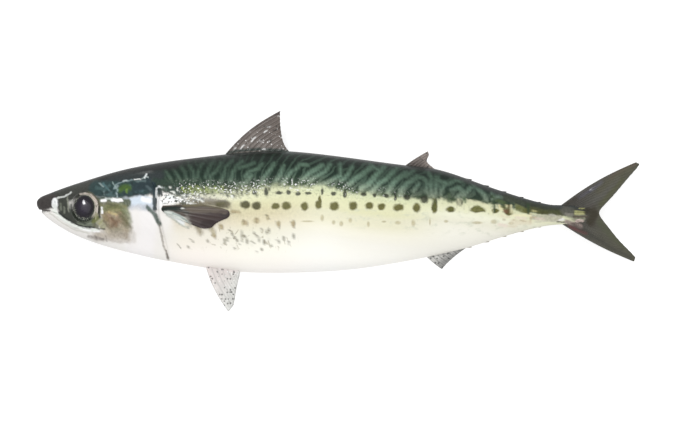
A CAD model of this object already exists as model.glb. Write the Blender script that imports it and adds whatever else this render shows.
"""A whole raw mackerel laid on its right side, on a pale studio floor.

Sizes are in millimetres in the fish's own frame: x from the snout to the tail, y from the belly
to the back, z out of the flank from the plane that halves the fish. Meshes are in metres. Only
the painted strokes are laid out in pixels.
"""
import logging
import math
from dataclasses import dataclass, field
from enum import Enum
from functools import partial, reduce
from typing import Iterable, Sequence

import bmesh
import bpy
import numpy as np
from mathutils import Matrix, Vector


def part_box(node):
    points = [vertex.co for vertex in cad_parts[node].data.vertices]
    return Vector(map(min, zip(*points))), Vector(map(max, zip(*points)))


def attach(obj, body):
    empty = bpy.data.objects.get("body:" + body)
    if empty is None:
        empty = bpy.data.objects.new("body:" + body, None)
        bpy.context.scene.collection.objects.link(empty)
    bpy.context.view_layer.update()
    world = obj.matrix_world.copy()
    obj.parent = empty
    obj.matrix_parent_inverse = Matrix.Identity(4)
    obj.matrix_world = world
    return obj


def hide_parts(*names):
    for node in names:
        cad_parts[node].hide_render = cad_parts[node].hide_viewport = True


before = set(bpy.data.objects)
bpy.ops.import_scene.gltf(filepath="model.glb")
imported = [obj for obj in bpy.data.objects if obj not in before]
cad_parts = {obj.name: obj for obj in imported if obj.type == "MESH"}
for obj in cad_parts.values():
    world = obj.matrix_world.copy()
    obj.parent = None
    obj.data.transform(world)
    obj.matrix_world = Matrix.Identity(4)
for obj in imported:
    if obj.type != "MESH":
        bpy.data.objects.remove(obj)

log = logging.getLogger("fish")
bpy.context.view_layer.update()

Array = np.ndarray
Material = bpy.types.Material
Mesh = bpy.types.Mesh
Node = bpy.types.Node
Piece = bpy.types.Object
Socket = bpy.types.NodeSocket
Feed = Socket | float | tuple | str  # what a node's socket can be fed, a str being a colour as seen
Points = Sequence[tuple[float, float]]
Spot = tuple[float, float, float, float]
Spots = tuple[Spot, ...]

MM = 0.001
CAD_LOW, CAD_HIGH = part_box("fish")
DORSAL_TOP = 59.0  # how far the first dorsal fin's tip lies above the fish's own axis
SNOUT_X = CAD_LOW.x / MM
AXIS_Y = CAD_HIGH.y / MM - DORSAL_TOP
KEY = 1.3  # how many times its own colour a surface shows under the studio light
THINNEST = 0.05  # the least half size of a cross-section or of a stroke's core
RIPPLE_WAVES = ((0.53, 0.31), (-0.42, 0.77), (1.13, -0.68), (0.91, 1.37), (-1.61, 0.83))
RIPPLE_REACH = 2.6  # about what those waves sum to at their highest
WEIGHT_STEPS = 60  # how finely a vertex group's weights are graded
RELIEF = {  # how far each feature stands out of the skin, in millimetres, negative where it is cut in
    "gill_cover": 1.3, "cheek": 0.8, "gill_slit": -1.1, "gill_fans": 0.14, "mouth": -1.0, "jaw_bone": 0.5,
    "eye_lid": 0.5, "eye_socket": -2.2, "nostril": 0.9, "rear_nostril": -0.7, "keel": 1.4, "fin_root": 0.8,
}


# ---------------------------------------------------------------- curves and places


def smooth(values: Array, start: float, end: float) -> Array:
    """Gives 0 before start, 1 after end and an easy slope between them."""
    share = np.clip((np.asarray(values, float) - start) / (end - start), 0.0, 1.0)
    return share * share * (3 - 2 * share)


def ripple(x: Array, y: Array, seed: float) -> Array:
    """Gives a smooth uneven field between about -1 and 1, with waves some 4 to 12 mm long.

    Args:
        x, y: Places along and up the fish.
        seed: Where the waves start.

    Returns:
        The field at each place.
    """
    total = np.zeros_like(x)
    for i, (turns_x, turns_y) in enumerate(RIPPLE_WAVES):
        total += np.sin(turns_x * x + turns_y * y + seed * (i + 1.7)) / (1 + 0.45 * i)
    return total / RIPPLE_REACH


@dataclass(frozen=True)
class Curve:
    """A smooth function through knots.

    Attributes:
        knots: Pairs of input and output, in order.
        nosed: Joins the knots against the root of the input, which rounds the snout.
    """

    knots: Points
    nosed: bool = False

    def at(self, where: Array | float) -> Array:
        """Reads the curve.

        Args:
            where: Inputs.

        Returns:
            The outputs, held level beyond the last knots.
        """
        keys, values = np.array(self.knots, float).T
        where = np.asarray(where, float)
        if self.nosed:
            keys, where = np.sqrt(keys), np.sqrt(np.maximum(where, 0.0))
        chords = np.diff(values) / np.diff(keys)
        slopes = np.empty_like(values)
        slopes[1:-1] = (values[2:] - values[:-2]) / (keys[2:] - keys[:-2])
        slopes[0], slopes[-1] = 1.5 * chords[0] - 0.5 * slopes[1], 1.5 * chords[-1] - 0.5 * slopes[-2]
        where = np.clip(where, keys[0], keys[-1])
        i = np.clip(np.searchsorted(keys, where, side="right") - 1, 0, len(keys) - 2)
        step = keys[i + 1] - keys[i]
        u = (where - keys[i]) / step
        start = values[i] * (1 + 2 * u) * (1 - u) ** 2 + slopes[i] * step * u * (1 - u) ** 2
        end = values[i + 1] * (3 - 2 * u) * u**2 + slopes[i + 1] * step * (u - 1) * u**2
        return start + end


class Line:
    """A smooth line through 2-D points, read by the share of its length."""

    def __init__(self, points: Points, fine: int = 24) -> None:
        """Samples the line.

        Args:
            points: The points that it passes through.
            fine: Samples for each stretch between two points.
        """
        p = np.array([points[0], *points, points[-1]], float)
        u = np.linspace(0, 1, fine, endpoint=False)[:, None]
        runs = []
        for a, b, c, d in zip(p, p[1:], p[2:], p[3:]):
            ab, cd = (c - a) / 2, (d - b) / 2
            runs.append((2 * b - 2 * c + ab + cd) * u**3 + (3 * c - 3 * b - 2 * ab - cd) * u**2 + ab * u + b)
        self.samples = np.vstack([*runs, p[-1:]])
        lengths = np.linalg.norm(np.diff(self.samples, axis=0), axis=1)
        self.shares = np.concatenate([[0], np.cumsum(lengths)]) / lengths.sum()

    def at(self, share: float) -> Array:
        """Gives the point at a share from 0 to 1 of the length."""
        return np.array([np.interp(share, self.shares, self.samples[:, k]) for k in (0, 1)])

    def distance(self, x: Array, y: Array) -> Array:
        """Gives each place's distance from the line, by every fourth sample."""
        return distance_to(self.samples[::4], x, y)


def distance_to(points: Points, x: Array, y: Array) -> Array:
    """Measures how far places are from a run of straight stretches.

    Args:
        points: The corners of the run.
        x: Places along the fish.
        y: Places up the fish.

    Returns:
        The shortest distance for each place.
    """
    nearest = np.full(np.shape(x), np.inf)
    for (ax, ay), (bx, by) in zip(points, points[1:]):
        dx, dy = bx - ax, by - ay
        share = np.clip(((x - ax) * dx + (y - ay) * dy) / max(dx * dx + dy * dy, 1e-9), 0, 1)
        nearest = np.minimum(nearest, np.hypot(x - ax - share * dx, y - ay - share * dy))
    return nearest


BODY_END = 324.0
BACK = Curve((
    (0, 5.2), (2, 8.4), (9.5, 11.6), (28, 18), (56, 25.8), (93, 31.6), (136, 35.6), (163, 34), (214, 27.3),
    (235, 24.5), (265, 14.2), (284, 8.1), (298, 4.5), (306, 4.1), (313, 4.2), (BODY_END, -0.8),
), nosed=True)
BELLY = Curve((
    (0, 5.2), (2, 0.8), (9.5, -5.8), (28, -15.7), (56, -24.1), (84, -29.9), (112, -34.3), (140, -35.5),
    (180, -33.8), (214, -28.8), (247, -21.8), (274, -13.7), (293, -8.7), (304, -7.3), (313, -6.8),
    (BODY_END, -0.8),
), nosed=True)
HALF_WIDTH = Curve((
    (0, 0), (2, 3.4), (9.5, 6.8), (28, 12.6), (42, 16), (56, 19), (74, 21.6), (93, 23.1), (120, 24.3),
    (150, 24.5), (180, 23), (214, 18.5), (247, 12.4), (274, 7.6), (293, 5.2), (306, 4.2), (BODY_END, 0.3),
), nosed=True)
GREEN_EDGE = Curve((
    (0, 10), (40, 15), (60, 16.5), (75, 13.6), (96, 13.2), (116, 13), (132, 14.2), (150, 14.8), (168, 14.2),
    (185, 11), (215, 8.2), (240, 7), (262, 4.4), (280, 1.4), (300, -1.2), (BODY_END, -2),
))

TOTAL_LENGTH = 350.0
REST_HEIGHT = 23.0
HEAD_SAG_FROM = 70.0
HEAD_SAG = 2.5
TAIL_SAG_FROM = 185.0
TAIL_SAG = 15.0
TAIL_SAG_POWER = 1.8


def middle_plane(x: Array | float) -> Array:
    """Gives the height above the floor of the plane that halves the fish, which sags at both ends.

    Args:
        x: Places along the fish.

    Returns:
        The heights.
    """
    head = np.maximum(0, (HEAD_SAG_FROM - np.asarray(x, float)) / HEAD_SAG_FROM)
    tail = np.maximum(0, (np.asarray(x, float) - TAIL_SAG_FROM) / (TOTAL_LENGTH - TAIL_SAG_FROM))
    return REST_HEIGHT - HEAD_SAG * head**2 - TAIL_SAG * tail**TAIL_SAG_POWER


def off_centre(x: Array, y: Array) -> Array:
    """Gives how far up a cross-section a place is: -1 at the belly's edge, 1 at the back's."""
    half = np.maximum((BACK.at(x) - BELLY.at(x)) / 2, THINNEST)
    return (y - (BACK.at(x) + BELLY.at(x)) / 2) / half


def flank(x: Array | float, y: Array | float) -> Array:
    """Gives the height of the flank over the middle plane."""
    return HALF_WIDTH.at(x) * np.sqrt(np.maximum(0, 1 - off_centre(x, y) ** 2))


def place(x: float, y: float, z: float) -> Vector:
    """Turns millimetres in the fish's frame into metres in the row's frame, laid down."""
    return Vector(((x + SNOUT_X) * MM, (y + AXIS_Y) * MM, (z + float(middle_plane(x))) * MM))


def fish_places(mesh: Mesh) -> tuple[Array, Array, Array]:
    """Reads a mesh's vertices in the fish's own frame.

    Args:
        mesh: A mesh in metres, laid down.

    Returns:
        The vertices' x, y and z in millimetres.
    """
    flat = np.empty(len(mesh.vertices) * 3)
    mesh.vertices.foreach_get("co", flat)
    x, y, z = flat.reshape(-1, 3).T / MM
    x, y = x - SNOUT_X, y - AXIS_Y
    return x, y, z - middle_plane(x)


def set_places(mesh: Mesh, x: Array, y: Array, z: Array) -> None:
    """Moves a mesh's vertices to places in the fish's own frame.

    Args:
        mesh: The mesh.
        x, y, z: The places.
    """
    laid = np.column_stack([x + SNOUT_X, y + AXIS_Y, np.maximum(z + middle_plane(x), 0.0)]) * MM
    mesh.vertices.foreach_set("co", laid.ravel())
    mesh.update()


def store(mesh: Mesh, name: str, values: Array) -> None:
    """Keeps one number for each vertex as a named attribute."""
    layer = mesh.attributes.get(name) or mesh.attributes.new(name, "FLOAT", "POINT")
    layer.data.foreach_set("value", np.asarray(values, np.float32))


# ---------------------------------------------------------------- modelling by operators


def select_only(piece: Piece) -> None:
    """Makes one piece the only selected one, and the active one.

    Args:
        piece: The piece.
    """
    bpy.ops.object.select_all(action="DESELECT")
    piece.select_set(True)
    bpy.context.view_layer.objects.active = piece


def named(name: str) -> Piece:
    """Names the piece that was just added, and applies its place.

    Args:
        name: The piece's name.

    Returns:
        The piece, at the origin, unturned and unscaled.
    """
    piece = bpy.context.object
    piece.name = piece.data.name = name
    select_only(piece)
    bpy.ops.object.transform_apply(location=True, rotation=True, scale=True)
    return piece


def edit_all(piece: Piece) -> None:
    """Opens a piece in edit mode with everything selected.

    Args:
        piece: The piece.
    """
    select_only(piece)
    bpy.ops.object.mode_set(mode="EDIT")
    bpy.ops.mesh.select_all(action="SELECT")


def leave_edit() -> None:
    """Turns all faces outwards and goes back to object mode."""
    bpy.ops.mesh.select_all(action="SELECT")
    bpy.ops.mesh.normals_make_consistent(inside=False)
    bpy.ops.object.mode_set(mode="OBJECT")


def finish_with(piece: Piece, kind: str, **settings: object) -> None:
    """Adds a modifier to a piece and applies it.

    Args:
        piece: The piece.
        kind: The modifier's type.
        settings: The modifier's settings.
    """
    select_only(piece)
    modifier = piece.modifiers.new(kind.title(), kind)
    for key, value in settings.items():
        setattr(modifier, key, value)
    bpy.ops.object.modifier_apply(modifier=modifier.name)


def subdivide(piece: Piece, levels: int) -> None:
    """Smooths a piece by subdivision."""
    finish_with(piece, "SUBSURF", levels=levels, render_levels=levels)


def weigh(piece: Piece, name: str, weights: Array) -> None:
    """Paints a vertex group.

    Args:
        piece: The piece.
        name: The group's name.
        weights: One weight for each vertex, from 0 to 1.
    """
    group = piece.vertex_groups.get(name) or piece.vertex_groups.new(name=name)
    steps = np.round(np.clip(weights, 0, 1) * WEIGHT_STEPS).astype(int)
    for step in np.unique(steps):
        if step:
            group.add(np.nonzero(steps == step)[0].tolist(), step / WEIGHT_STEPS, "REPLACE")


def raise_where(piece: Piece, name: str, weights: Array) -> None:
    """Pushes a piece's surface out or in by painted weights.

    Args:
        piece: The piece.
        name: The feature's name, which RELIEF gives its height.
        weights: One weight for each vertex.
    """
    weigh(piece, name, weights)
    finish_with(piece, "DISPLACE", vertex_group=name, strength=RELIEF[name] * MM, mid_level=0.0)
    piece.vertex_groups.remove(piece.vertex_groups[name])


def dress(piece: Piece, material: Material) -> None:
    """Gives a finished piece its material and its place on the fish, and lets it stand for the solid.

    Args:
        piece: The piece.
        material: Its material.
    """
    piece.data.materials.clear()
    piece.data.materials.append(material)
    select_only(piece)
    bpy.ops.object.shade_smooth()
    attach(piece, "root")
    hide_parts("fish")
    log.info("%s: %d vertices", piece.name, len(piece.data.vertices))


# ---------------------------------------------------------------- the painted marks
#
# Strokes and light bands are laid out in pixels of a frame of 700 by 444 that shows the fish from
# straight above, x to the right and y downwards. A run is a row of pairs x,y. A slash parts two runs.

FISH_PIXELS = 602  # the fish's length in that frame
ORIGIN_PIXEL = (36, 212)  # where the fish's own frame begins in it
PIXEL = round(TOTAL_LENGTH / FISH_PIXELS, 4)  # millimetres to the pixel
LEAST_FADE = 0.4  # the least distance in millimetres over which an edge fades


def tenths(pixels: float) -> float:
    """Turns a length in pixels into millimetres, to a tenth."""
    return round(pixels * PIXEL, 1)


def runs_of(pixels: str) -> list[Points]:
    """Reads runs of pixels.

    Args:
        pixels: The runs.

    Returns:
        The same runs in the fish's own frame.
    """
    left, level = ORIGIN_PIXEL
    runs = [[pair.split(",") for pair in run.split()] for run in pixels.split("/")]
    return [[(tenths(float(x) - left), tenths(level - float(y))) for x, y in run] for run in runs]


@dataclass(frozen=True)
class Dab:
    """Soft brush strokes that share a pigment and a width.

    Attributes:
        name: What they paint.
        pixels: Their runs.
        half: Half their width, in pixels.
        soft: How far their edges fade, in pixels.
        colour: Their colour as seen, in hexadecimal.
        strength: How much they cover, from 0 to 1.
    """

    name: str
    pixels: str
    half: float
    soft: float
    colour: str
    strength: float


HEAD_STROKES = (
    Dab("throat", "44,224 80,240 110,247 134,251", 23, 12, "F5F2EE", 1),
    Dab("crown", "33,203 50,196 75,184 105,173 140,163 172,158", 11.5, 6, "1F2221", 1),
    Dab("brow", "60,197 75,192 95,188", 8, 7, "3B3D38", 1),
    Dab("brow", "104,186 120,180 140,177 160,176", 5, 6, "2E3637", 1),
    Dab("temple_base", "97,200 112,199.6 130,200", 3, 2.4, "46534C", 1),
    Dab("temple", "98,189 120,190 146,188", 8.5, 4, "2A4040", 1),
    Dab("temple_teal", "104,184 112,192", 1.2, 2, "5F8286", 0.6),
    Dab("temple_teal", "132,186 137,191", 1.5, 2, "587C80", 0.6),
    Dab("olive_patch", "121,190.4 126,186.6 131,188", 2.6, 4.4, "476328", 0.9),
    Dab("olive_spot", "127.6,189.6 128.4,192", 1, 1.6, "6F8F3A", 0.8),
    Dab("temple_grey", "137,187 143,190", 2.4, 3.4, "5C7A80", 0.6),
    Dab("temple_grey", "117,194 119,190", 1.2, 2, "6F8388", 0.6),
    Dab("temple_dark", "133,184 136,194 140,196", 1.6, 2, "1F2A2E", 0.7),
    Dab("nape", "139,187 149,183 156,191", 5, 3, "26363B", 0.95),
    Dab("nape_grey", "138,181.6 146,181", 1, 1.6, "6D8080", 0.6),
    Dab("nape_grey", "148,186 152,190", 1, 1.6, "5D6F72", 0.6),
    Dab("opercle", "146,214 143,234 140,250", 14, 8, "F8F5F4", 1),
    Dab("opercle_base", "128,202 136,204 152,206", 4.6, 4, "C6CED6", 1),
    Dab("opercle_shine", "134,202 143,200 151,201.6", 4.4, 3.4, "D8E4F0", 1),
    Dab("opercle_bright", "145,199.6 151,201", 2.6, 2, "FFFFFF", 0.9),
    Dab("opercle_dim", "124,202 130,206", 2.2, 3, "9FA69A", 0.7),
    Dab("opercle_notch", "142,194.6 145.6,195.6", 1.1, 1.2, "2A3A40", 0.85),
    Dab("opercle_grey", "134,207.5 151,207.5", 3, 4, "C7CBD3", 0.8),
    Dab("cheek_ground", "100,203 112,202 129,203", 4.2, 2.4, "5E6655", 1),
    Dab("cheek_base", "106,210 118,210 125,218 126,229 114,229 108,220 118,220", 7, 8, "96917A", 1),
    Dab("cheek_olive", "104,209 114,207.6 126,210", 4.4, 5, "6F724A", 0.9),
    Dab("cheek_yellow", "108,213 120,209.6", 1.6, 3, "B3AE7E", 0.55),
    Dab("cheek_brown", "110,216 114,224 120,221", 4, 8, "937C66", 0.85),
    Dab("cheek_dark", "118,211 124,218 127,225", 2, 4, "7C735A", 0.6),
    Dab("cheek_dark", "112,226 118,223", 1.4, 3, "6E5B4A", 0.5),
    Dab("cheek_pink", "118,216 122,213", 1.4, 3, "C9A98F", 0.5),
    Dab("cheek_green", "123,206 129,213 132,221", 2, 4, "8F9679", 0.7),
    Dab("chin_blotch", "98,235.4 112,236 128,236.6", 4.6, 9, "BEB4A6", 0.9),
    Dab("chin_blotch", "114,233 128,236", 2.6, 6, "A49B8C", 0.5),
    Dab("chin_line", "106,239 118,241.6 128,242", 0.8, 3, "A89D95", 0.35),
    Dab("chin_line", "131,226 133,234 130,242", 1.2, 4, "B4ABA0", 0.4),
    Dab("chin_dark", "89,236.4 96,238 103,239.4", 1.4, 3.2, "989089", 0.75),
    Dab("chin_dark", "95.6,235.6 97,238.4", 0.8, 1.4, "77716C", 0.6),
    Dab("chin_dark", "101,237.4 104,239", 0.7, 1.4, "837C76", 0.6),
    Dab("chin_dark", "106.8,236 107.4,241.4", 0.7, 1.4, "857D75", 0.55),
    Dab("temple_streak", "103,201 107,200.6", 1.3, 1.2, "FFFFFF", 1),
    Dab("temple_streak", "114,199.8 123,200.4", 1.8, 1.2, "FFFFFF", 1),
    Dab("temple_streak", "107,198.6 114,199", 0.9, 1.2, "D6DEDA", 0.8),
    Dab("cheek_dark", "105,221 108,226", 1.2, 2.4, "6F6450", 0.6),
    Dab("cheek_dark", "124,212 130,219", 1, 2, "6A6A4E", 0.55),
    Dab("cheek_olive", "110,206.6 128,207.4", 1.6, 2.4, "6A6C48", 0.7),
    Dab("cheek_brown", "104,214 108,219", 2, 3.4, "8C7C5C", 0.7),
    Dab("cheek_sand", "110.6,212.4 115,214.6 118.4,214", 1.1, 1.8, "CDBB88", 0.65),
    Dab("cheek_streak", "121,214 127,220 133,228", 1.5, 2.2, "69664A", 0.75),
    Dab("cheek_streak", "124,206.4 127.4,208.4", 0.9, 1.4, "8D8A66", 0.6),
    Dab("cheek_streak", "113,218 116,222", 0.9, 1.6, "6B5546", 0.6),
    Dab("cheek_brown", "114,219 118,226", 1.6, 3, "7F6650", 0.6),
    Dab("cheek_pale", "122,226 128,231", 2, 3.6, "B9AC97", 0.7),
    Dab("cheek_pale", "104,226 110,232", 2, 3.6, "C3B8A4", 0.7),
    Dab("cheek_grey", "126,233 131,240", 2, 4, "A79C8C", 0.6),
    Dab("cheek_grey", "131.6,229 135.4,233.4 135,241", 1.8, 3.6, "ABA395", 0.65),
    Dab("cheek_grey", "119,229.6 126,227", 1.1, 2.4, "9C9582", 0.5),
    Dab("opercle_veil", "138,211 137.6,230 134,243", 3.4, 9, "F4F0EC", 0.6),
    Dab("under_eye", "67,215 79,223 93,222", 5.5, 4, "717869", 1),
    Dab("before_eye", "63,204 66,212 74,218", 6.5, 4, "3B3E37", 1),
    Dab("before_speck", "61,204 61.4,210", 1, 1.2, "7D8274", 0.6),
    Dab("before_speck", "64.6,207 65,213", 0.8, 1.2, "8A8F80", 0.55),
    Dab("snout", "34,203 44,202 50.5,201", 7.6, 2.4, "3D3937", 1),
    Dab("upper_lip", "39,209.6 50,210.8", 0.9, 1, "55504D", 0.9),
    Dab("bead", "55,200.6 55.4,204.6", 3, 1.6, "F6F8F8", 1),
    Dab("bead", "55.4,205 56,210", 1.5, 1.4, "E6EAE6", 0.9),
    Dab("bead_core", "55.5,201.5 55.5,202.5", 0.9, 1, "C4C8CA", 0.8),
    Dab("snout_line", "57.5,198.3 65.5,196.6 71.5,192.6", 0.8, 0.9, "C9CCC8", 0.95),
    Dab("lid_line", "68.5,197 69,206 70,212", 0.7, 1.2, "A9AC9C", 0.6),
    Dab("lid_line", "72.8,200 72.8,208", 0.5, 1, "8F9385", 0.5),
    Dab("upper_jaw", "53.6,210.4 59,215 66,220.8 76,226.2 88,229.6 99,230", 1.5, 1.2, "EDF1EA", 1),
    Dab("jaw_bright", "84,229.4 91,230", 1.1, 0.9, "FFFFFF", 0.9),
    Dab("jaw_bright", "95,231.4 100,231.6", 0.8, 0.9, "FFFFFF", 0.9),
    Dab("jaw_shadow", "59,212.2 66,218.2 74,223.2 84,226.4 96,227.4", 0.9, 0.9, "2A2F2B", 0.95),
    Dab("mouth", "49,212.6 62,222.4 76,230.4 90,233.2", 0.7, 1, "D3D3C8", 0.7),
    Dab("lid_ground", "90,194 97,200 99,208 98,216", 2.6, 2, "5C5B49", 0.95),
    Dab("lid_ground", "98,216 100,222 104,226", 3.2, 2, "A3A187", 0.95),
    Dab("lid_rim", "81,194.6 86,193.4 92,195 96.4,199.5 98.6,206 98.4,212", 0.8, 1, "EDE3D8", 0.9),
    Dab("lid_low", "95,221.5 98.5,218", 2.4, 2, "6D7243", 0.9),
    Dab("lid_low", "97.4,213 97,219", 0.6, 1, "B8B596", 0.7),
    Dab("lid_low", "101,224 104,220", 0.8, 1.2, "A7A77A", 0.7),
    Dab("lid_dark", "72,205 73,213 78,220 86,223.4", 1.3, 1.5, "3A4038", 0.8),
    Dab("behind_eye", "100.4,207 100.9,217.4", 1, 1, "2A2D26", 0.95),
    Dab("behind_eye", "99,204.6 108,203.6 116,205", 1, 1.6, "5B5A44", 0.7),
    Dab("behind_eye", "95,226.4 100,228.8 106,229.2", 0.8, 1.2, "383A2A", 0.8),
    Dab("jaw_corner", "94.6,224.6 99,226.6", 1.4, 1.4, "6B6C58", 0.9),
    Dab("eye_spark", "103,207.6 103.2,213", 0.8, 1, "FFFFFF", 0.95),
    Dab("temple_grey", "105.4,191 106,195", 0.7, 1, "7F9292", 0.7),
    Dab("temple_grey", "110.6,190.4 112.4,191.4", 0.8, 1, "6F8384", 0.7),
    Dab("temple_grey", "118,193.6 118.6,197.4", 0.7, 0.9, "A8B8BA", 0.8),
    Dab("temple_dark", "115.6,195.4 117,196.6", 1.1, 1, "141E1E", 0.85),
    Dab("temple_dark", "108,186.4 111,189", 0.8, 1.2, "1A2626", 0.6),
    Dab("temple_dark", "101,188 103,191.6", 0.9, 1.2, "1E2B2B", 0.6),
    Dab("temple_dark", "126,194.4 130,195.6", 0.8, 1, "1E2B2F", 0.6),
    Dab("skull_line", "115,189 117.6,184.6 124,181.6 134,180", 0.6, 1, "8FA3A6", 0.8),
    Dab("skull_line", "116.4,188.6 119,186", 0.9, 1.2, "A8B8BA", 0.6),
    Dab("skull_line", "135.6,179.6 141.6,179.2", 0.6, 0.8, "F2F6F4", 0.95),
    Dab("skull_line", "124,181.4 128,180.8", 0.5, 0.8, "C2CCCC", 0.8),
    Dab("skull_line", "143,178.6 146.6,176", 0.5, 0.8, "A9B7B6", 0.8),
    Dab("skull_dot", "145.4,178 147.4,174.4", 0.8, 0.9, "EAF1F0", 0.9),
    Dab("skull_dot", "146,177 149,177.6", 0.6, 0.8, "C9D5D4", 0.85),
    Dab("skull_line", "100.5,183 104,186.5", 0.8, 1, "93A5A4", 0.75),
    Dab("temple_mist", "98,188 106,190 110,186", 1.6, 3, "506A6A", 0.6),
    Dab("temple_mist", "108,194 116,196", 1.4, 2.6, "5A7273", 0.6),
    Dab("temple_dark", "104,194 112,191", 1.2, 2, "1E2C2C", 0.6),
    Dab("skull_line", "113.5,183 117,187 119,191.5", 0.7, 0.9, "8FA3A0", 0.8),
    Dab("shoulder_base", "157,183 166,187 177,190.6 187,193.4", 4.8, 3, "2A3C34", 0.95),
    Dab("shoulder_base", "186,190 200,191.4 214,191", 2.6, 3.4, "7F8A52", 0.6),
    Dab("gill_edge", "154.5,184 156.3,193 156.3,203 156.8,209", 2, 1.2, "1F3238", 0.95),
    Dab("gill_wedge", "149.5,208 156,214 161,224", 2.3, 2, "45574E", 0.9),
    Dab("gill_fold", "160.5,224 162.6,234 164.2,244 166.5,252 168.6,259", 0.8, 1, "9C958B", 0.7),
    Dab("gill_fold", "166.4,250 168.6,257.5", 0.8, 1, "6E685F", 0.85),
    Dab("shoulder_line", "158,197 158,188.5 161,187.2 165,188", 0.9, 0.9, "F7FBFB", 0.95),
    Dab("shoulder_dark", "161.6,191.5 162.4,194.5", 2, 1.4, "1C2929", 0.95),
    Dab("shoulder_white", "160.4,200 161,207", 2, 1.2, "FFFFFF", 0.95),
    Dab("shoulder_white", "164,202.6 176,200.4 186,201", 2.4, 3, "FFFFFF", 0.92),
    Dab("shoulder_white", "168,196.6 176,197.4", 1.4, 2.4, "E8F0EE", 0.8),
    Dab("shoulder_olive", "184,203.6 200,201.6 214,202 228,205", 3.4, 3, "625B43", 0.94),
    Dab("shoulder_dot", "219,204 226,203.2", 2, 1.8, "4E4A1C", 0.9),
    Dab("shoulder_olive", "196,203.6 210,204", 1.6, 3, "776E50", 0.6),
    Dab("shoulder_olive", "176,205.6 188,205.6", 1.2, 2, "4F5244", 0.7),
    Dab(
        "shoulder_glint",
        "192,203.4 193.6,203.8 / 199.6,199.4 201,200 / 172,191.6 176,193 / 171,187 171.8,187.6 / "
        "178,189.4 179,191 / 184,195.4 187,196 / 190,194.6 192,195.6 / 198,194.4 200,195.6 / 189,202 "
        "189.6,202.6 / 195,203 195.6,203.6 / 203.4,201 204,201.6 / 232,196 234,197",
        0.85, 0.9, "FAFCF4", 0.85,
    ),
    Dab("shoulder_dark", "159.6,189 160.2,196", 1, 1.2, "3E4B4A", 0.8),
    Dab("shoulder_dark", "163.6,187 168,190", 1.4, 2, "5C6B62", 0.7),
    Dab("shoulder_green", "164,182 176,185 186,187", 3, 4, "2F4236", 0.75),
    Dab(
        "shoulder_yellow",
        "184,188.4 187,192 / 192,188 193,193 / 198,186.6 201,191 / 207,188 209,192.6 / 216,188 218,192 / "
        "223,187 225,191.6",
        1.4, 1.8, "9BAA5A", 0.75,
    ),
    Dab(
        "shoulder_streak",
        "181,190.6 183,194 / 189.6,187 190.4,193 / 195.6,190 196.6,194 / 203.4,187 204.4,193.6 / 215,191 "
        "212.4,194.6 / 220,186 219.6,189.4 / 232,185 230,190 / 221,193.6 224,194.6 / 244,188 242,193 / "
        "258.6,187 255,191 / 229,196 233,195 / 260,188 263,184",
        0.9, 1.2, "525F3C", 0.75,
    ),
    Dab(
        "shoulder_bar",
        "231,188 228.6,195 / 256,194 258,196 / 243.6,193 241,197 / 226.4,185 226.2,193.6 / 240,186 "
        "238,191.6 235.4,196.4 / 253,185.6 248.6,190.4 246.6,195.4 / 269.6,188.6 266.4,195.8",
        1.2, 1.2, "3A4429", 0.85,
    ),
    Dab(
        "shoulder_speck",
        "176,197.5 178,198 / 166,190.6 167,192 / 171.4,193.4 173,194 / 183,198.4 185,198.6 / 181,201.6 "
        "182.6,202 / 195,196 196.4,197.4 / 202,197 203.4,199.4 / 206.4,194.6 207,195.4 / 184,202.6 "
        "188,203.4 / 193,199.2 196,199.8 / 200,198.4 203,199",
        0.95, 1, "485047", 0.75,
    ),
    Dab("root_pale", "170,213 178,217.6 184,222.5", 2.6, 2.4, "EDF2F4", 0.9),
    Dab("root_fold", "167.5,215 175,219.5 183,225.5 190,227.5", 0.9, 1.3, "A9B0A6", 0.8),
    Dab("root_fold", "186,216.4 190.5,221 190.8,226", 0.9, 1.2, "9AA39B", 0.8),
    Dab("root_smudge", "197,222 199.6,228.5 201.4,233", 2.6, 3.2, "8F8467", 0.75),
    Dab(
        "mark",
        "231,230.4 234,235 238.4,240.6 / 254,232 254.4,234.6 / 251,242 251.6,245 / 258,235.4 259,237.6 / "
        "263,229.4 263.4,232 / 278,239 279,242 / 294,234.6 294.6,238 / 268,215.6 268.6,218.6 / 270,229.4 "
        "271,233",
        0.9, 1, "787360", 0.75,
    ),
    Dab(
        "mark_fine",
        "241.8,230 242.2,236 241.6,244 / 245,236 247.6,240 248.6,245.6 / 223.8,244.6 226,239 230,237.4 / "
        "260,240 260.8,243.4 / 267,231 268,234 / 268,237.6 269,240 / 271,243 272,246 / 262,248 263,250 / "
        "256,249 257,251.6 / 284,236.6 284.6,240 / 289,242 290,244.4 / 228,240 225,243.4 / 178,243.6 "
        "182,248 / 192,239.6 195,242 / 189,246 190.6,249 / 208,240 210,244 / 263.6,240 265,243.4 / "
        "252,240.6 255,243 / 234,246 237,249.4",
        0.7, 1, "827E68", 0.7,
    ),
    Dab(
        "blotch",
        "215,235.4 216,237 / 222,225 223.4,228 / 246,221.4 246.8,224 / 233,212 239.6,212.6 / 278,223 "
        "279,226 / 293,222 293.6,226 / 257,219.4 258,221.6",
        1.5, 1.6, "A2916E", 0.7,
    ),
    Dab("root_smudge", "211,226 214.6,231.8", 2, 2.6, "A79C78", 0.7),
)

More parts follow.
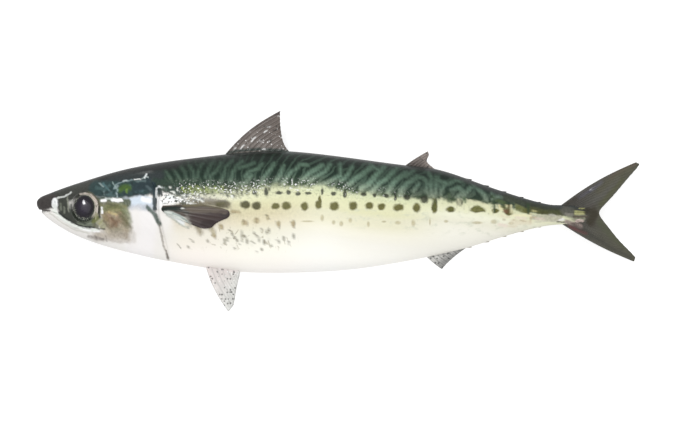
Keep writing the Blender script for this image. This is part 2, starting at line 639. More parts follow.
TAIL_STROKES = (
    Dab("stalk_top", "505,197.5 522,203.5 540,208 560,212.4 574,211.5", 3.2, 2.6, "343A2C", 0.8),
    Dab("stalk_mid", "528,209 545,212.4 562,213.6", 2.9, 2.4, "474A2A", 0.85),
    Dab("stalk_pale", "532,217 546,217.8 560,218.4", 2.8, 2.6, "B7B4A1", 0.85),
    Dab("bump", "440.5,199 440,205 441,210.5 / 458,200 459,205 457,211", 1.6, 2.4, "E9EAC6", 0.6),
    Dab("bump", "468,201.4 480,203 487,206.8 490,213", 1.7, 2.4, "E6E6C0", 0.75),
    Dab("bump", "466,207 465,212", 1.6, 2.4, "E9EAC6", 0.6),
    Dab("column", "434,199.6 434,209.5", 1.5, 1.2, "565C2E", 0.85),
    Dab("column", "448.5,194 448.6,202", 1.6, 1.6, "3F5238", 0.7),
    Dab("column", "492.6,196 493.6,211", 1.3, 1.1, "33472F", 0.9),
    Dab("blob", "450,209.6 451.4,209.8", 2, 1.1, "5C5F2E", 0.9),
    Dab("triangle", "470.5,210.8 477,206.2 483.5,210.8", 1.4, 1.1, "6B6E3B", 0.9),
    Dab("triangle", "474,210.4 480,210.4", 1, 1.2, "77784A", 0.8),
    Dab("dip", "463.5,198 464,202", 1.8, 1.4, "4A5F42", 0.7),
    Dab("dark", "498,200.6 504,202.6", 1.7, 1.6, "4B5B38", 0.8),
    Dab("cream", "499,205.4 500.6,209", 1.6, 1.4, "E2DCAE", 0.85),
    Dab("cream", "505.2,204.8 505.6,208", 0.9, 1, "E9E2B4", 0.85),
    Dab("column", "502.8,203.6 503,209.6", 0.9, 1, "565C2E", 0.85),
    Dab("column", "508,205.4 508.6,212.4", 0.9, 1, "5E5330", 0.85),
    Dab("brown", "505,210.6 506.4,211.8", 2, 1.2, "6C4D36", 0.9),
    Dab("dark", "501.6,206.8 507,208.4", 1.1, 1, "4A4F2C", 0.8),
    Dab("cream", "511.2,206 512,212.6", 1.2, 1.4, "DEDAB2", 0.8),
    Dab("olive_pale", "516,205.6 522,207.6", 1.6, 2, "83865A", 0.65),
    Dab("olive", "518,208.4 522.6,210.4", 3, 2, "65693A", 0.85),
    Dab("column", "527.4,204.4 528.6,212.6", 1.3, 1.1, "2F4328", 0.9),
    Dab("stalk_brown", "530.4,214 530.6,222", 0.7, 1, "B5A27C", 0.6),
    Dab("cream", "532,210.4 538,211.8", 0.8, 1, "B5B07C", 0.75),
    Dab("olive", "538,212.4 547,213", 1.5, 1.4, "44461F", 0.85),
    Dab("cream_line", "512,215.4 531,215.8", 1, 1.4, "F0EAC4", 0.85),
    Dab("tan", "512,222 530,222.6", 2.6, 3.4, "E0D5BA", 0.6),
    Dab("tan", "500,216 508,217", 1.2, 2, "E0D5BA", 0.6),
    Dab("tan", "508,226.4 516,226", 1, 2, "E0D5BA", 0.6),
    Dab("rosy", "498,224.6 506,226", 1.4, 3, "E8D3C8", 0.55),
    Dab("rosy", "516,217.6 526,218.4 / 536,218.6 544,219.6", 1, 2, "E8D3C8", 0.55),
    Dab(
        "tan_dark", "503,219.4 505,221 / 513,219.4 515,220 / 521,220.6 525,221 / 531,216.8 535,217.4",
        0.8, 1.4, "BCA98A", 0.6,
    ),
    Dab("stalk_white", "550,214.6 556,215.4", 0.9, 1.6, "C9C6BA", 0.6),
    Dab("stalk_grey", "549,214.6 552,216", 1.1, 1.2, "A29E90", 0.6),
    Dab("stalk_edge", "535,222 548,221 558,221.2", 0.9, 1.4, "C4BFB2", 0.5),
    Dab("tail_root", "566,211 578,216 592,217", 5, 4, "5B5A52", 0.8),
    Dab("tail_notch", "592,206 596,214 592,224", 3.6, 4, "47423A", 0.8),
    Dab("keel_yellow", "576,213.6 584.6,213.2", 1.6, 2.2, "BDBC86", 0.85),
    Dab("keel_yellow", "575,211.4 586,212", 0.9, 1.2, "9FA06A", 0.8),
    Dab("keel_spark", "580,208.8 585,208.2", 0.7, 0.9, "B0AF76", 0.7),
    Dab("keel_dark", "574,216.4 588,216.8", 0.9, 1, "55493F", 0.8),
    Dab("keel_grey", "567,214 572,214.6", 1.6, 1.6, "8C897E", 0.7),
    Dab("stalk_end", "559.6,220 564,219.8", 1.1, 1.2, "EFEDE8", 0.9),
    Dab("stalk_end_line", "557,222 568,222.4", 0.7, 0.8, "3E3B36", 0.8),
    Dab("tail_mauve", "567,221.6 573,223.4 581,226.6", 2.2, 2.6, "9C8D87", 0.9),
    Dab("tail_red", "570,226.6 578,229.6 587,233.4", 1.5, 2.6, "6E4B4B", 0.8),
    Dab("keel_pale", "577,220.6 583,221", 1.3, 1.2, "E2CFC6", 0.9),
    Dab("tail_speck", "590.6,189.6 592,190", 0.9, 0.9, "FFFFFF", 0.95),
    Dab("tail_speck", "594,187.4 594.6,186.6", 0.6, 0.8, "D8D8D8", 0.8),
    Dab("tail_speck_dark", "589.2,192 591.4,191.2", 0.8, 0.8, "20201E", 0.8),
    Dab("tail_sheen", "580,196.4 590,190.6 602,182.6", 1.8, 4, "6A6A76", 0.6),
    Dab("tail_sheen", "590,206 606,191 618,178", 2, 6, "63625F", 0.4),
    Dab("tail_olive", "602,204 612,193 624,179", 1.6, 4, "55583A", 0.5),
    Dab("tail_olive", "600,222 612,236 626,247", 2, 5, "50553F", 0.5),
    Dab("tail_notch_deep", "589,211 595,214 591,221", 4, 4, "3A3629", 0.8),
    Dab("tail_edge", "574,224 596,238 616,250 632,258", 1.2, 4, "45443E", 0.6),
    Dab("tail_edge", "566,206 584,193 606,178 628,164", 1, 3.4, "4C4842", 0.5),
    Dab("tail_lead", "612,177 626,167.6 636,163.6", 2.4, 3.4, "5E5249", 0.6),
    Dab("tail_brown", "600,190 618,176 630,168", 3.4, 5, "5C5A48", 0.5),
    Dab("dorsal_base", "226,152.6 244,150 268,149.4 292,152.4", 1.6, 2.6, "2B3A35", 0.9),
    Dab("dorsal_front", "229,150.6 244,136 260,123.6 279,112.4", 1.1, 3, "5A524E", 0.7),
    Dab("dorsal_tip", "276,114 281.6,111.6", 2, 3, "4A4340", 0.8),
    Dab(
        "dorsal_spark",
        "241,148.4 244.5,144.6 / 234,149 236,148 / 251,141.4 256,137 / 268,127 270.6,127 / 264,132.6 "
        "266.6,131 / 259.6,140.4 262,142 / 278.6,116.4 281,116 / 263,149 265,148.6",
        0.75, 0.9, "F0F0EE", 0.87,
    ),
    Dab(
        "dorsal_fleck", "278.4,127 279.6,127 / 274,130 277,129 / 269.6,142.6 271,139.6",
        0.8, 0.9, "44403C", 0.82,
    ),
)

PECTORAL_STROKES = (
    Dab("fin_top", "184,210.4 205,210 226,211.4", 2.6, 3.4, "6C6359", 0.9),
    Dab("fin_top_dark", "176,207.4 186,207.8", 1.2, 1.8, "2E302B", 0.9),
    Dab("fin_blend", "186,204.4 205,203.8 222,206", 2.6, 3.6, "756E56", 0.9),
    Dab("fin_lobe", "196,217 208,219 220,216", 3.4, 5, "463A38", 0.9),
    Dab("fin_lobe", "205,223.4 213,223", 3, 3.6, "342A29", 0.95),
    Dab("fin_tip", "222,214 228.6,216.4", 1, 1.6, "383030", 0.9),
    Dab("fin_tip", "222,211 228,212", 0.9, 1.4, "574A48", 0.8),
    Dab("fin_root_pale", "168,214 176,216.4 184,221", 3.6, 2.4, "DCE2DC", 0.95),
    Dab("fin_root_pale", "186,219 190,224", 2, 2, "D9D8CC", 0.85),
    Dab("fin_fold", "174,213.6 181,215.6 188,220.6 190.4,225", 0.7, 1, "93A29E", 0.9),
    Dab("fin_fold", "186,212.6 190,217.6 191,223", 0.8, 1.2, "7F7C76", 0.8),
    Dab("fin_root_dark", "163.5,209.8 172,208.6 182,209.4", 1.9, 1.3, "232F2A", 0.95),
    Dab("fin_root_dark", "180,209.6 190,213.4", 1.4, 2, "3E3F3B", 0.85),
    Dab("fin_spark", "183.5,208 184.6,208.4", 0.8, 0.8, "F2F2EE", 0.8),
)

LIGHT_BANDS = (
    (0.9, "173,168 178,175 182,181 / 165,169 170,176 173,182"),
    (1, (
        "370,164.5 376.7,169.5 / 500,192 506,195 / 213,161.5 209.5,169 206.5,177 / 203,163.6 199.5,170 "
        "197.5,178 / 190,166 194,172 195.5,181 / 181,166 186,173 188,180"
    )),
    (1.1, "471,183 476,187.5 / 491,189 492,195 / 254,162.6 247,166.6 240,168"),
    (1.2, (
        "295,170 300,164.6 308,165.6 / 413.5,171 405,176.6 / 517,200.6 523,203 / 232,160.6 226.6,167 "
        "224.6,175 221,182 / 222,163 217.5,170 212,176 210,183"
    )),
    (1.3, (
        "340,164 340,175.5 333,180 323,184 315,187 / 447,184 455,180 461.5,181.6 / 284,166 281,174 "
        "276,182 / 263,164 258,169 250,172 246,177 / 243,161.6 237,166 233,173 232,181"
    )),
    (1.4, (
        "397,167 392.5,174 / 508,198.5 513,201.5 / 274,163.5 270,171 264,178 262,184 / 252,176 247,182 "
        "238,186"
    )),
    (1.5, (
        "330,164.7 326,171.3 318,175.5 310,181.5 / 418.4,184 412.5,191 / 438,181.3 445,182.6 442,188.5 "
        "440,195 / 492.5,199 497,195.6 503,196.6 / 292,172 287,178 283,184"
    )),
    (1.6, (
        "352,167 348,174.7 341,181 / 417,177 423.5,178.4 427,184 425,192 / 428,172 431.5,179 430.5,190 "
        "429,196 / 451,190 459,187 462,192 456,197"
    )),
    (1.7, "322,165.5 312,172 302.5,179.5 / 478,189.5 484,194.6 486,200"),
    (1.8, "437,177 436,186 433.5,196"),
    (1.9, "470,187.5 465,194 460,200"),
    (2.1, (
        "372,167 363.5,173 356.7,178 349,184 / 393.5,171 386.7,178 380,183 373.3,189.7 369,194 / 405,173 "
        "396.7,179.7 390,186.3 387.5,193"
    )),
    (2.2, "417,177 407,183 401.5,190 400,195"),
    (2.3, "384,166.5 378.3,173 373.3,178.8 368,184 361,189"),
)


def wavered(places: Array, x: Array, y: Array, seeds: tuple[float, float]) -> Array:
    """Shifts one coordinate of a set of places to and fro, so that painted edges waver.

    Args:
        places: The coordinate.
        x: Places along the fish.
        y: Places up the fish.
        seeds: Seeds of the broad and of the fine waves.

    Returns:
        The shifted coordinate.
    """
    broad, fine = seeds
    finer = 2.7  # how many times shorter the fine waves are
    return places + 0.3 * ripple(x, y, broad) + 0.22 * ripple(finer * x, finer * y, fine)


def paint(piece: Piece, ground: Array, strokes: Iterable[Dab], ground_colour: str) -> None:
    """Paints pigment on a piece, stroke over stroke, with edges that waver a little.

    Args:
        piece: The piece, which gets the colour attribute "marks".
        ground: How much the ground colour covers each vertex, from 0 to 1.
        strokes: The strokes, the lowest first.
        ground_colour: The colour under them, as seen.
    """
    x, y, _ = fish_places(piece.data)
    bent_x, bent_y = wavered(x, x, y, (1.3, 2.4)), wavered(y, x, y, (4.1, 5.2))
    cover = np.asarray(ground, float)[:, None]
    pigment = np.array(tint(ground_colour)[:3]) * cover
    for group in strokes:
        half, fade = tenths(group.half), max(tenths(group.soft), LEAST_FADE) / 2
        for run in runs_of(group.pixels):
            apart = distance_to(run, bent_x, bent_y)
            share = smooth(apart, half + fade, max(half - fade, THINNEST))[:, None] * group.strength
            pigment = pigment * (1 - share) + np.array(tint(group.colour)[:3]) * share
            cover = cover * (1 - share) + share
    layer = piece.data.attributes.new("marks", "FLOAT_COLOR", "POINT")
    marks = np.hstack([pigment / np.maximum(cover, 1e-4), cover])
    layer.data.foreach_set("color", marks.astype(np.float32).ravel())


# ---------------------------------------------------------------- the body


@dataclass
class Trunk:
    """The body from the snout to the root of the tail, with the relief of its head.

    Attributes:
        sides: Corners of each cross-section of the cage.
        levels: Subdivisions of the cage.
        head_rings, tail_rings: Places of the cage's rings in the head and behind it.
        cheek_edge, gill_edge: Rear edges of the cheek plate and of the gill cover.
        mouth_line, jaw_bone: The slit between the jaws and the ridge over it.
        keel_levels, keel_at: Heights of the tail's two keels, and how far back they lie.
        keel_size: Half their length and height.
        nostril, rear_nostril: The clear bead over the front nostril, and the slot behind it.
        shoulder: The swelling round the pectoral fin's root.
        grooves, fan_from: How many grooves a full turn on the gill cover has, and where they start.
        band_swell: How many times as wide as listed the light bands are drawn.
        ground: Colour of the skin between the strokes of the head.
    """

    sides: int = 56
    levels: int = 2
    head_rings: Array = field(default_factory=lambda: np.concatenate(
        [[0.12, 0.5, 1.1, 1.9, 2.9, 4.1, 5.5, 7.1], np.arange(8.9, 84.0, 1.9)]))
    tail_rings: Array = field(default_factory=lambda: np.concatenate(
        [np.linspace(86.2, 296, 38), np.linspace(299, 322.5, 10)]))
    cheek_edge: Points = ((50, 12), (54.5, 5), (55.5, -3), (58.5, -10), (57, -17), (50, -27))
    gill_edge: Points = ((66, 20), (71, 12), (71, 4), (71.5, -3), (74, -13), (77, -27), (77, -34))
    mouth_line: Points = ((-2, 0.6), (8, 0.2), (14, -1.8), (26, -8.6), (33.5, -10.4))
    jaw_bone: Points = ((10.5, 0.2), (17.5, -5.0), (26, -9.6), (36, -10.6))
    keel_levels: tuple[float, float] = (0.4, -4.0)
    keel_at: float = 317.0
    keel_size: tuple[float, float] = (7.5, 1.3)
    nostril: Spot = (11.6, 5.4, 2.3, 3.0)
    rear_nostril: Spot = (20.6, 8.6, 0.9, 1.7)
    shoulder: Spot = (77, 1.8, 5.5, 4.2)
    grooves: int = 34
    fan_from: tuple[float, float] = (52, 8)
    band_swell: float = 1.2
    ground: str = "F5F2ED"

    def build(self) -> Piece:
        """Models the body.

        Returns:
            The finished body.
        """
        body = self.cage()
        subdivide(body, self.levels)
        self.carve(body)
        self.press_flat(body)
        self.mark_fields(body)
        self.paint_head(body)
        dress(body, SkinFinish().material())
        return body

    def ring_at(self, x: float) -> tuple[Vector, float, float]:
        """Gives a cross-section.

        Args:
            x: Its place along the fish.

        Returns:
            Its centre in metres, its half depth and its half width in millimetres.
        """
        top, bottom = float(BACK.at(x)), float(BELLY.at(x))
        return place(x, (top + bottom) / 2, 0), (top - bottom) / 2, float(HALF_WIDTH.at(x))

    def cage(self) -> Piece:
        """Draws the body out of one small circle at the snout, ring by ring.

        Returns:
            The closed cage.
        """
        stations = [*self.head_rings, *self.tail_rings]
        centre, depth, width = self.ring_at(stations[0])
        bpy.ops.mesh.primitive_circle_add(
            vertices=self.sides, radius=MM, fill_type="TRIFAN", location=centre, rotation=(0, math.pi / 2, 0)
        )
        body = named("body")
        edit_all(body)
        bpy.ops.transform.resize(value=(1, depth, width), center_override=centre)
        for x in stations[1:]:
            ahead, deeper, wider = self.ring_at(x)
            bpy.ops.mesh.extrude_region_move(TRANSFORM_OT_translate={"value": ahead - centre})
            bpy.ops.transform.resize(value=(1, deeper / depth, wider / width), center_override=ahead)
            centre, depth, width = ahead, deeper, wider
        leave_edit()
        return body

    def carve(self, body: Piece) -> None:
        """Raises the plates of the head and cuts its slits, on both sides.

        Args:
            body: The body.
        """
        x, y, _ = fish_places(body.data)
        sideways = np.sqrt(np.maximum(0, 1 - off_centre(x, y) ** 2))
        behind = self.behind(self.gill_edge, x, y)
        cover = smooth(x, 54, 71) * smooth(-behind, 0, 1.0) * smooth(y, 20, 13) * sideways
        raise_where(body, "gill_cover", cover)
        cheek = smooth(x, 40, 54) * smooth(-self.behind(self.cheek_edge, x, y), 0, 0.9) * smooth(y, 12, 7)
        raise_where(body, "cheek", cheek * sideways * smooth(y, -27, -22))
        slit = smooth(np.abs(behind - 0.5), 1.1, 0.1) * smooth(y, 19, 15) * sideways
        raise_where(body, "gill_slit", slit)
        hub_x, hub_y = self.fan_from
        fans = 0.5 + 0.5 * np.sin(np.arctan2(y - hub_y, x - hub_x) * self.grooves)
        raise_where(body, "gill_fans", fans * cover * smooth(x, 58, 63) * smooth(y, 4, 0))
        mouth = smooth(Line(self.mouth_line).distance(x, y), 0.85, 0.15)
        raise_where(body, "mouth", mouth * smooth(x, 34, 30))
        jaw = smooth(distance_to(self.jaw_bone, x, y), 2.2, 0.6)
        raise_where(body, "jaw_bone", jaw * sideways)
        socket = self.reach(x, y, (Eye.x, Eye.y, Eye.radius_x + 1.2, Eye.radius_y + 1.2))
        raise_where(body, "eye_lid", smooth(np.abs(socket - 1.12), 0.45, 0.05) * sideways)
        raise_where(body, "eye_socket", smooth(socket, 1.04, 0.8))
        bead = self.reach(x, y, self.nostril)
        raise_where(body, "nostril", smooth(bead, 1.1, 0.3) * sideways)
        slot = self.reach(x, y, self.rear_nostril)
        raise_where(body, "rear_nostril", smooth(slot, 1.1, 0.4) * sideways)
        for level in self.keel_levels:
            keel = self.reach(x, y, (self.keel_at, level, *self.keel_size))
            raise_where(body, "keel", smooth(keel, 1.0, 0.2))
        shoulder = self.reach(x, y, self.shoulder)
        raise_where(body, "fin_root", smooth(shoulder, 1.0, 0.2) * smooth(behind, 0.4, 2.4))

    @staticmethod
    def reach(x: Array, y: Array, oval: Spot) -> Array:
        """Gives how far out of an oval each place lies.

        Args:
            x: Places along the fish.
            y: Places up the fish.
            oval: Its centre and half sizes.

        Returns:
            0 at the centre and 1 on the edge.
        """
        centre_x, centre_y, half_x, half_y = oval
        return np.hypot((x - centre_x) / half_x, (y - centre_y) / half_y)

    @staticmethod
    def behind(edge: Points, x: Array, y: Array) -> Array:
        """Gives how far behind a plate's rear edge each place lies, in millimetres."""
        run = Line(edge).samples[::-1]
        return x - np.interp(y, run[:, 1], run[:, 0])

    @staticmethod
    def press_flat(body: Piece) -> None:
        """Flattens the flank where it lies on the floor."""
        set_places(body.data, *fish_places(body.data))

    def mark_fields(self, body: Piece) -> None:
        """Stores what the pattern follows: girth from the back, height over the green's edge, pale bands.

        Args:
            body: The body.
        """
        x, y, z = fish_places(body.data)
        depth = np.maximum((BACK.at(x) - BELLY.at(x)) / 2, THINNEST)
        width = np.maximum(HALF_WIDTH.at(x), THINNEST)
        turn = np.arctan2(np.abs(z) / width, off_centre(x, y))
        arc = np.zeros_like(x)
        for node, share in zip(*np.polynomial.legendre.leggauss(8)):
            here = turn * (node + 1) / 2
            arc += share / 2 * np.hypot(depth * np.sin(here), width * np.cos(here))
        store(body.data, "girth", arc * turn)
        store(body.data, "rise", y - GREEN_EDGE.at(x))
        waver = 0.35
        bent_x, bent_y = x + waver * ripple(x, y, 6.3), y + waver * ripple(x, y, 7.9)
        light = np.zeros_like(x)
        for half, pixels in LIGHT_BANDS:
            reach = self.band_swell * tenths(half)
            for run in runs_of(pixels):
                apart = distance_to(run, bent_x, bent_y)
                light = np.maximum(light, smooth(apart, reach + 1.1, max(reach - 1.0, 0)))
        store(body.data, "light", light)

    def paint_head(self, body: Piece) -> None:
        """Paints the head, the shoulder and the tail stalk.

        Args:
            body: The body.
        """
        x, y, _ = fish_places(body.data)
        seam = np.interp(y, (-30, -8, 4, 11, 14, 34), (78, 80, 82, 79, 69, 66))
        fade = np.interp(y, (-16, -4), (8, 2.5))
        ground = smooth(x + 1.2 * ripple(x, y, 2.2), seam + fade, seam - fade)
        paint(body, ground, HEAD_STROKES + TAIL_STROKES, self.ground)


@dataclass
class Eye:
    """One eye: a shallow ball whose clear middle stands out a little.

    Attributes:
        side: 1 for the upper side, -1 for the one that it lies on.
        x: Its place along the fish.
        y: Its place up the fish.
        radius_x: Half its length.
        radius_y: Half its height.
        thickness: Half its thickness.
        sunk: How far its centre lies under the flank.
        dome: Radius of the clear middle.
        dome_rim: Width of its rim.
        dome_rise: How far it stands out.
    """

    side: int
    x: float = 29.2
    y: float = 2.4
    radius_x: float = 7.1
    radius_y: float = 7.8
    thickness: float = 3.6
    sunk: float = 2.1
    dome: float = 4.6
    dome_rim: float = 0.25
    dome_rise: float = 0.12

    def build(self) -> Piece:
        """Models the eye.

        Returns:
            The finished eye.
        """
        name = "eye_left" if self.side > 0 else "eye_right"
        centre = place(self.x, self.y, self.side * (float(flank(self.x, self.y)) - self.sunk))
        bpy.ops.mesh.primitive_uv_sphere_add(segments=40, ring_count=20, radius=MM, location=centre)
        eye = named(name)
        edit_all(eye)
        bpy.ops.transform.resize(
            value=(self.radius_x, self.radius_y, self.thickness), center_override=centre
        )
        bpy.ops.mesh.select_all(action="DESELECT")
        shape = bmesh.from_edit_mesh(eye.data)
        for face in shape.faces:
            offset = face.calc_center_median() - centre
            face.select = math.hypot(offset.x, offset.y) < self.dome * MM and offset.z * self.side > 0
        bmesh.update_edit_mesh(eye.data)
        bpy.ops.mesh.inset(thickness=self.dome_rim * MM)
        bpy.ops.transform.translate(value=(0, 0, self.dome_rise * MM * self.side))
        leave_edit()
        subdivide(eye, 2)
        dress(eye, EyeFinish().material())
        return eye


# ---------------------------------------------------------------- the fins

PELVIC_FROM = 98.0  # where the roots of the pelvic fins begin
SHEET_START = 150.0  # where each sheet is begun, over the level stretch of the middle plane


class Place(Enum):
    """Where a fin stands."""

    BACK = "back"
    BELLY = "belly"
    FLANK = "flank"
    TAIL = "tail"


@dataclass(frozen=True)
class FanPlan:
    """The plan of a fin: a fan of rays from its root on the flesh to its outer margin.

    Attributes:
        root: The line of the root.
        margin: The line of the margin, from the leading edge.
        rays: Number of webs between the rays.
        steps: Rows of the sheet along the rays.
        thick: Thickness at the root and at the margin.
        bows: How far the first and the last ray bow outwards.
        web_reach: Length of the web's edge beside that of the rays.
    """

    root: Points
    margin: Points
    rays: int
    steps: int
    thick: tuple[float, float]
    bows: tuple[float, float] = (0.0, 0.0)
    web_reach: float = 0.97


@dataclass
class Fin:
    """A fin drawn ray by ray, then given its thickness.

    Attributes:
        name: The piece's name.
        plan: Its outline.
        stands: Where it stands.
        finish: Its membrane.
        side: 1 or -1 for a paired fin, 0 for one in the middle plane.
    """

    name: str
    plan: FanPlan
    stands: Place
    finish: "FinFinish"
    side: int = 0

    def build(self) -> Piece:
        """Models the fin.

        Returns:
            The finished fin.
        """
        fin = self.sheet()
        self.bend(fin)
        finish_with(fin, "SUBSURF", levels=1, render_levels=1, boundary_smooth="PRESERVE_CORNERS")
        self.thicken(fin)
        subdivide(fin, 1)
        set_places(fin.data, *fish_places(fin.data))
        strokes = PECTORAL_STROKES if self.stands is Place.FLANK else TAIL_STROKES
        bare = np.zeros(len(fin.data.vertices))
        paint(fin, bare, strokes, self.finish.web)
        dress(fin, self.finish.material(self.name, self.plan.rays))
        return fin

    def ray(self, share: float) -> tuple[Array, Array]:
        """Gives the root and the tip of the ray at a share across the fin."""
        return Line(self.plan.root).at(share), Line(self.plan.margin).at(share)

    def sheet(self) -> Piece:
        """Extrudes the first ray sideways, one ray after the other.

        Returns:
            The flat sheet, which keeps how far across and along each vertex lies.
        """
        columns = 2 * self.plan.rays
        bpy.ops.mesh.primitive_plane_add(size=2 * MM, location=place(SHEET_START, 0, 0))
        fin = named(self.name)
        edit_all(fin)
        shape = bmesh.from_edit_mesh(fin.data)
        low = min(v.co.x for v in shape.verts)
        for vertex in shape.verts:
            vertex.select = vertex.co.x > low + MM
        shape.select_flush_mode()
        bmesh.update_edit_mesh(fin.data)
        bpy.ops.mesh.delete(type="VERT")
        bpy.ops.mesh.select_all(action="SELECT")
        bpy.ops.mesh.subdivide(number_cuts=self.plan.steps - 1)
        shape = bmesh.from_edit_mesh(fin.data)
        along = shape.verts.layers.float.new("along")
        across = shape.verts.layers.float.new("across")
        heights = [v.co.y for v in shape.verts]
        foot, head = min(heights), max(heights)
        for vertex in shape.verts:
            vertex[along] = (vertex.co.y - foot) / (head - foot)
            vertex[across] = 0.0
            side = vertex.co.x
        bmesh.update_edit_mesh(fin.data)
        now = (Vector((side, foot, 0)), Vector((side, head, 0)))
        for column in range(columns + 1):
            share = column / columns
            root, tip = self.ray(share)
            reach = self.plan.web_reach if column % 2 else 1.0
            tip = root + (tip - root) * reach
            ahead = (Vector((*place(*root, 0).xy, 0)), Vector((*place(*tip, 0).xy, 0)))
            if column:
                bpy.ops.mesh.extrude_region_move(TRANSFORM_OT_translate={"value": (0, 0, 0)})
            self.swing(now, ahead)
            shape = bmesh.from_edit_mesh(fin.data)
            across = shape.verts.layers.float["across"]
            for vertex in shape.verts:
                if vertex.select:
                    vertex[across] = share
            bmesh.update_edit_mesh(fin.data)
            now = ahead
        leave_edit()
        return fin

    @staticmethod
    def swing(now: tuple[Vector, Vector], ahead: tuple[Vector, Vector]) -> None:
        """Carries the selected ray from one straight line to another.

        Args:
            now: Its root and tip.
            ahead: The root and tip that it goes to.
        """
        old, new = now[1] - now[0], ahead[1] - ahead[0]
        turn = math.atan2(old.x * new.y - old.y * new.x, old.x * new.x + old.y * new.y)
        stretch = new.length / old.length
        centre = Vector((ahead[0].x, ahead[0].y, REST_HEIGHT * MM))
        bpy.ops.transform.translate(value=ahead[0] - now[0])
        bpy.ops.transform.rotate(value=-turn, orient_axis="Z", center_override=centre)
        bpy.ops.transform.resize(value=(stretch, stretch, 1), center_override=centre)

    def bend(self, fin: Piece) -> None:
        """Bows the rays in their plane and lays the sheet where the fin stands.

        Args:
            fin: The fin.
        """
        across, along = (self.read(fin.data, name) for name in ("across", "along"))
        x, y, _ = fish_places(fin.data)
        lead, trail = self.plan.bows
        for i, (share, out) in enumerate(zip(across, along)):
            root, tip = self.ray(float(share))
            ray = tip - root
            normal = np.array([-abs(ray[1]), math.copysign(1, ray[1]) * ray[0]]) / np.hypot(*ray)
            bow = lead * max(0, 1 - 2 * share) + trail * max(0, 2 * share - 1)
            if self.stands in (Place.BACK, Place.BELLY):
                bow = lead * (1 - share)
            x[i] += normal[0] * bow * math.sin(math.pi * out)
            y[i] += normal[1] * bow * math.sin(math.pi * out)
        set_places(fin.data, x, y, self.height(x, y, across, along))

    @staticmethod
    def read(mesh: Mesh, name: str) -> Array:
        """Reads a vertex attribute of numbers."""
        return np.array([item.value for item in mesh.attributes[name].data], float)

    def height(self, x: Array, y: Array, across: Array, along: Array) -> Array:
        """Gives the fin's height over the middle plane, with waves that grow towards the margin.

        Args:
            x, y: Places along and up the fish.
            across, along: How far across the fin and along its rays they lie, from 0 to 1.

        Returns:
            The heights.
        """
        if self.stands is Place.FLANK:
            clear, opened = 0.2, 0.75
            lift = clear + opened * along + 0.35 * np.sin(across * 9) * along
            return self.side * (flank(x, y) + lift)
        if self.stands is Place.BELLY and self.side:
            apart, splay = 4.5, 0.12
            spread = apart + splay * np.maximum(0, BELLY.at(PELVIC_FROM) - y)
            return self.side * spread + 0.5 * np.sin(across * 5) * along
        return 0.45 * np.sin(across * 7 + 1) * along

    def thicken(self, fin: Piece) -> None:
        """Gives the sheet its thickness, more on the rays than on the web, and tapered outwards.

        Args:
            fin: The fin.
        """
        across, along = (self.read(fin.data, name) for name in ("across", "along"))
        root, tip = self.plan.thick
        on_ray = 0.5 + 0.5 * np.cos(2 * math.pi * across * self.plan.rays)
        web = 0.62  # how thick the web is beside a ray
        weigh(fin, "thick", (1 + (tip / root - 1) * along) * (web + (1 - web) * on_ray))
        finish_with(
            fin, "SOLIDIFY", thickness=root * MM, offset=0.0, vertex_group="thick", thickness_vertex_group=0.0
        )
        fin.vertex_groups.clear()


def root_on(profile: Curve, start: float, end: float, sunk: float) -> Points:
    """Gives a fin's root line along the back or the belly.

    Args:
        profile: The edge of the body.
        start: Where it begins.
        end: Where it ends.
        sunk: How far it is sunk into the flesh, negative from below.

    Returns:
        Points of the root line.
    """
    return [(float(x), float(profile.at(x)) - sunk) for x in np.linspace(start, end, 5)]


# ---------------------------------------------------------------- finishes


def tint(colour: str) -> tuple[float, float, float, float]:
    """Turns a colour as seen in the studio light into a surface's own colour.

    Args:
        colour: Red, green and blue in hexadecimal.

    Returns:
        Linear red, green, blue and alpha.
    """
    parts = [int(colour[i:i + 2], 16) / 255 for i in (0, 2, 4)]
    linear = [p / 12.92 if p <= 0.04045 else ((p + 0.055) / 1.055) ** 2.4 for p in parts]
    return (*(value / KEY for value in linear), 1.0)


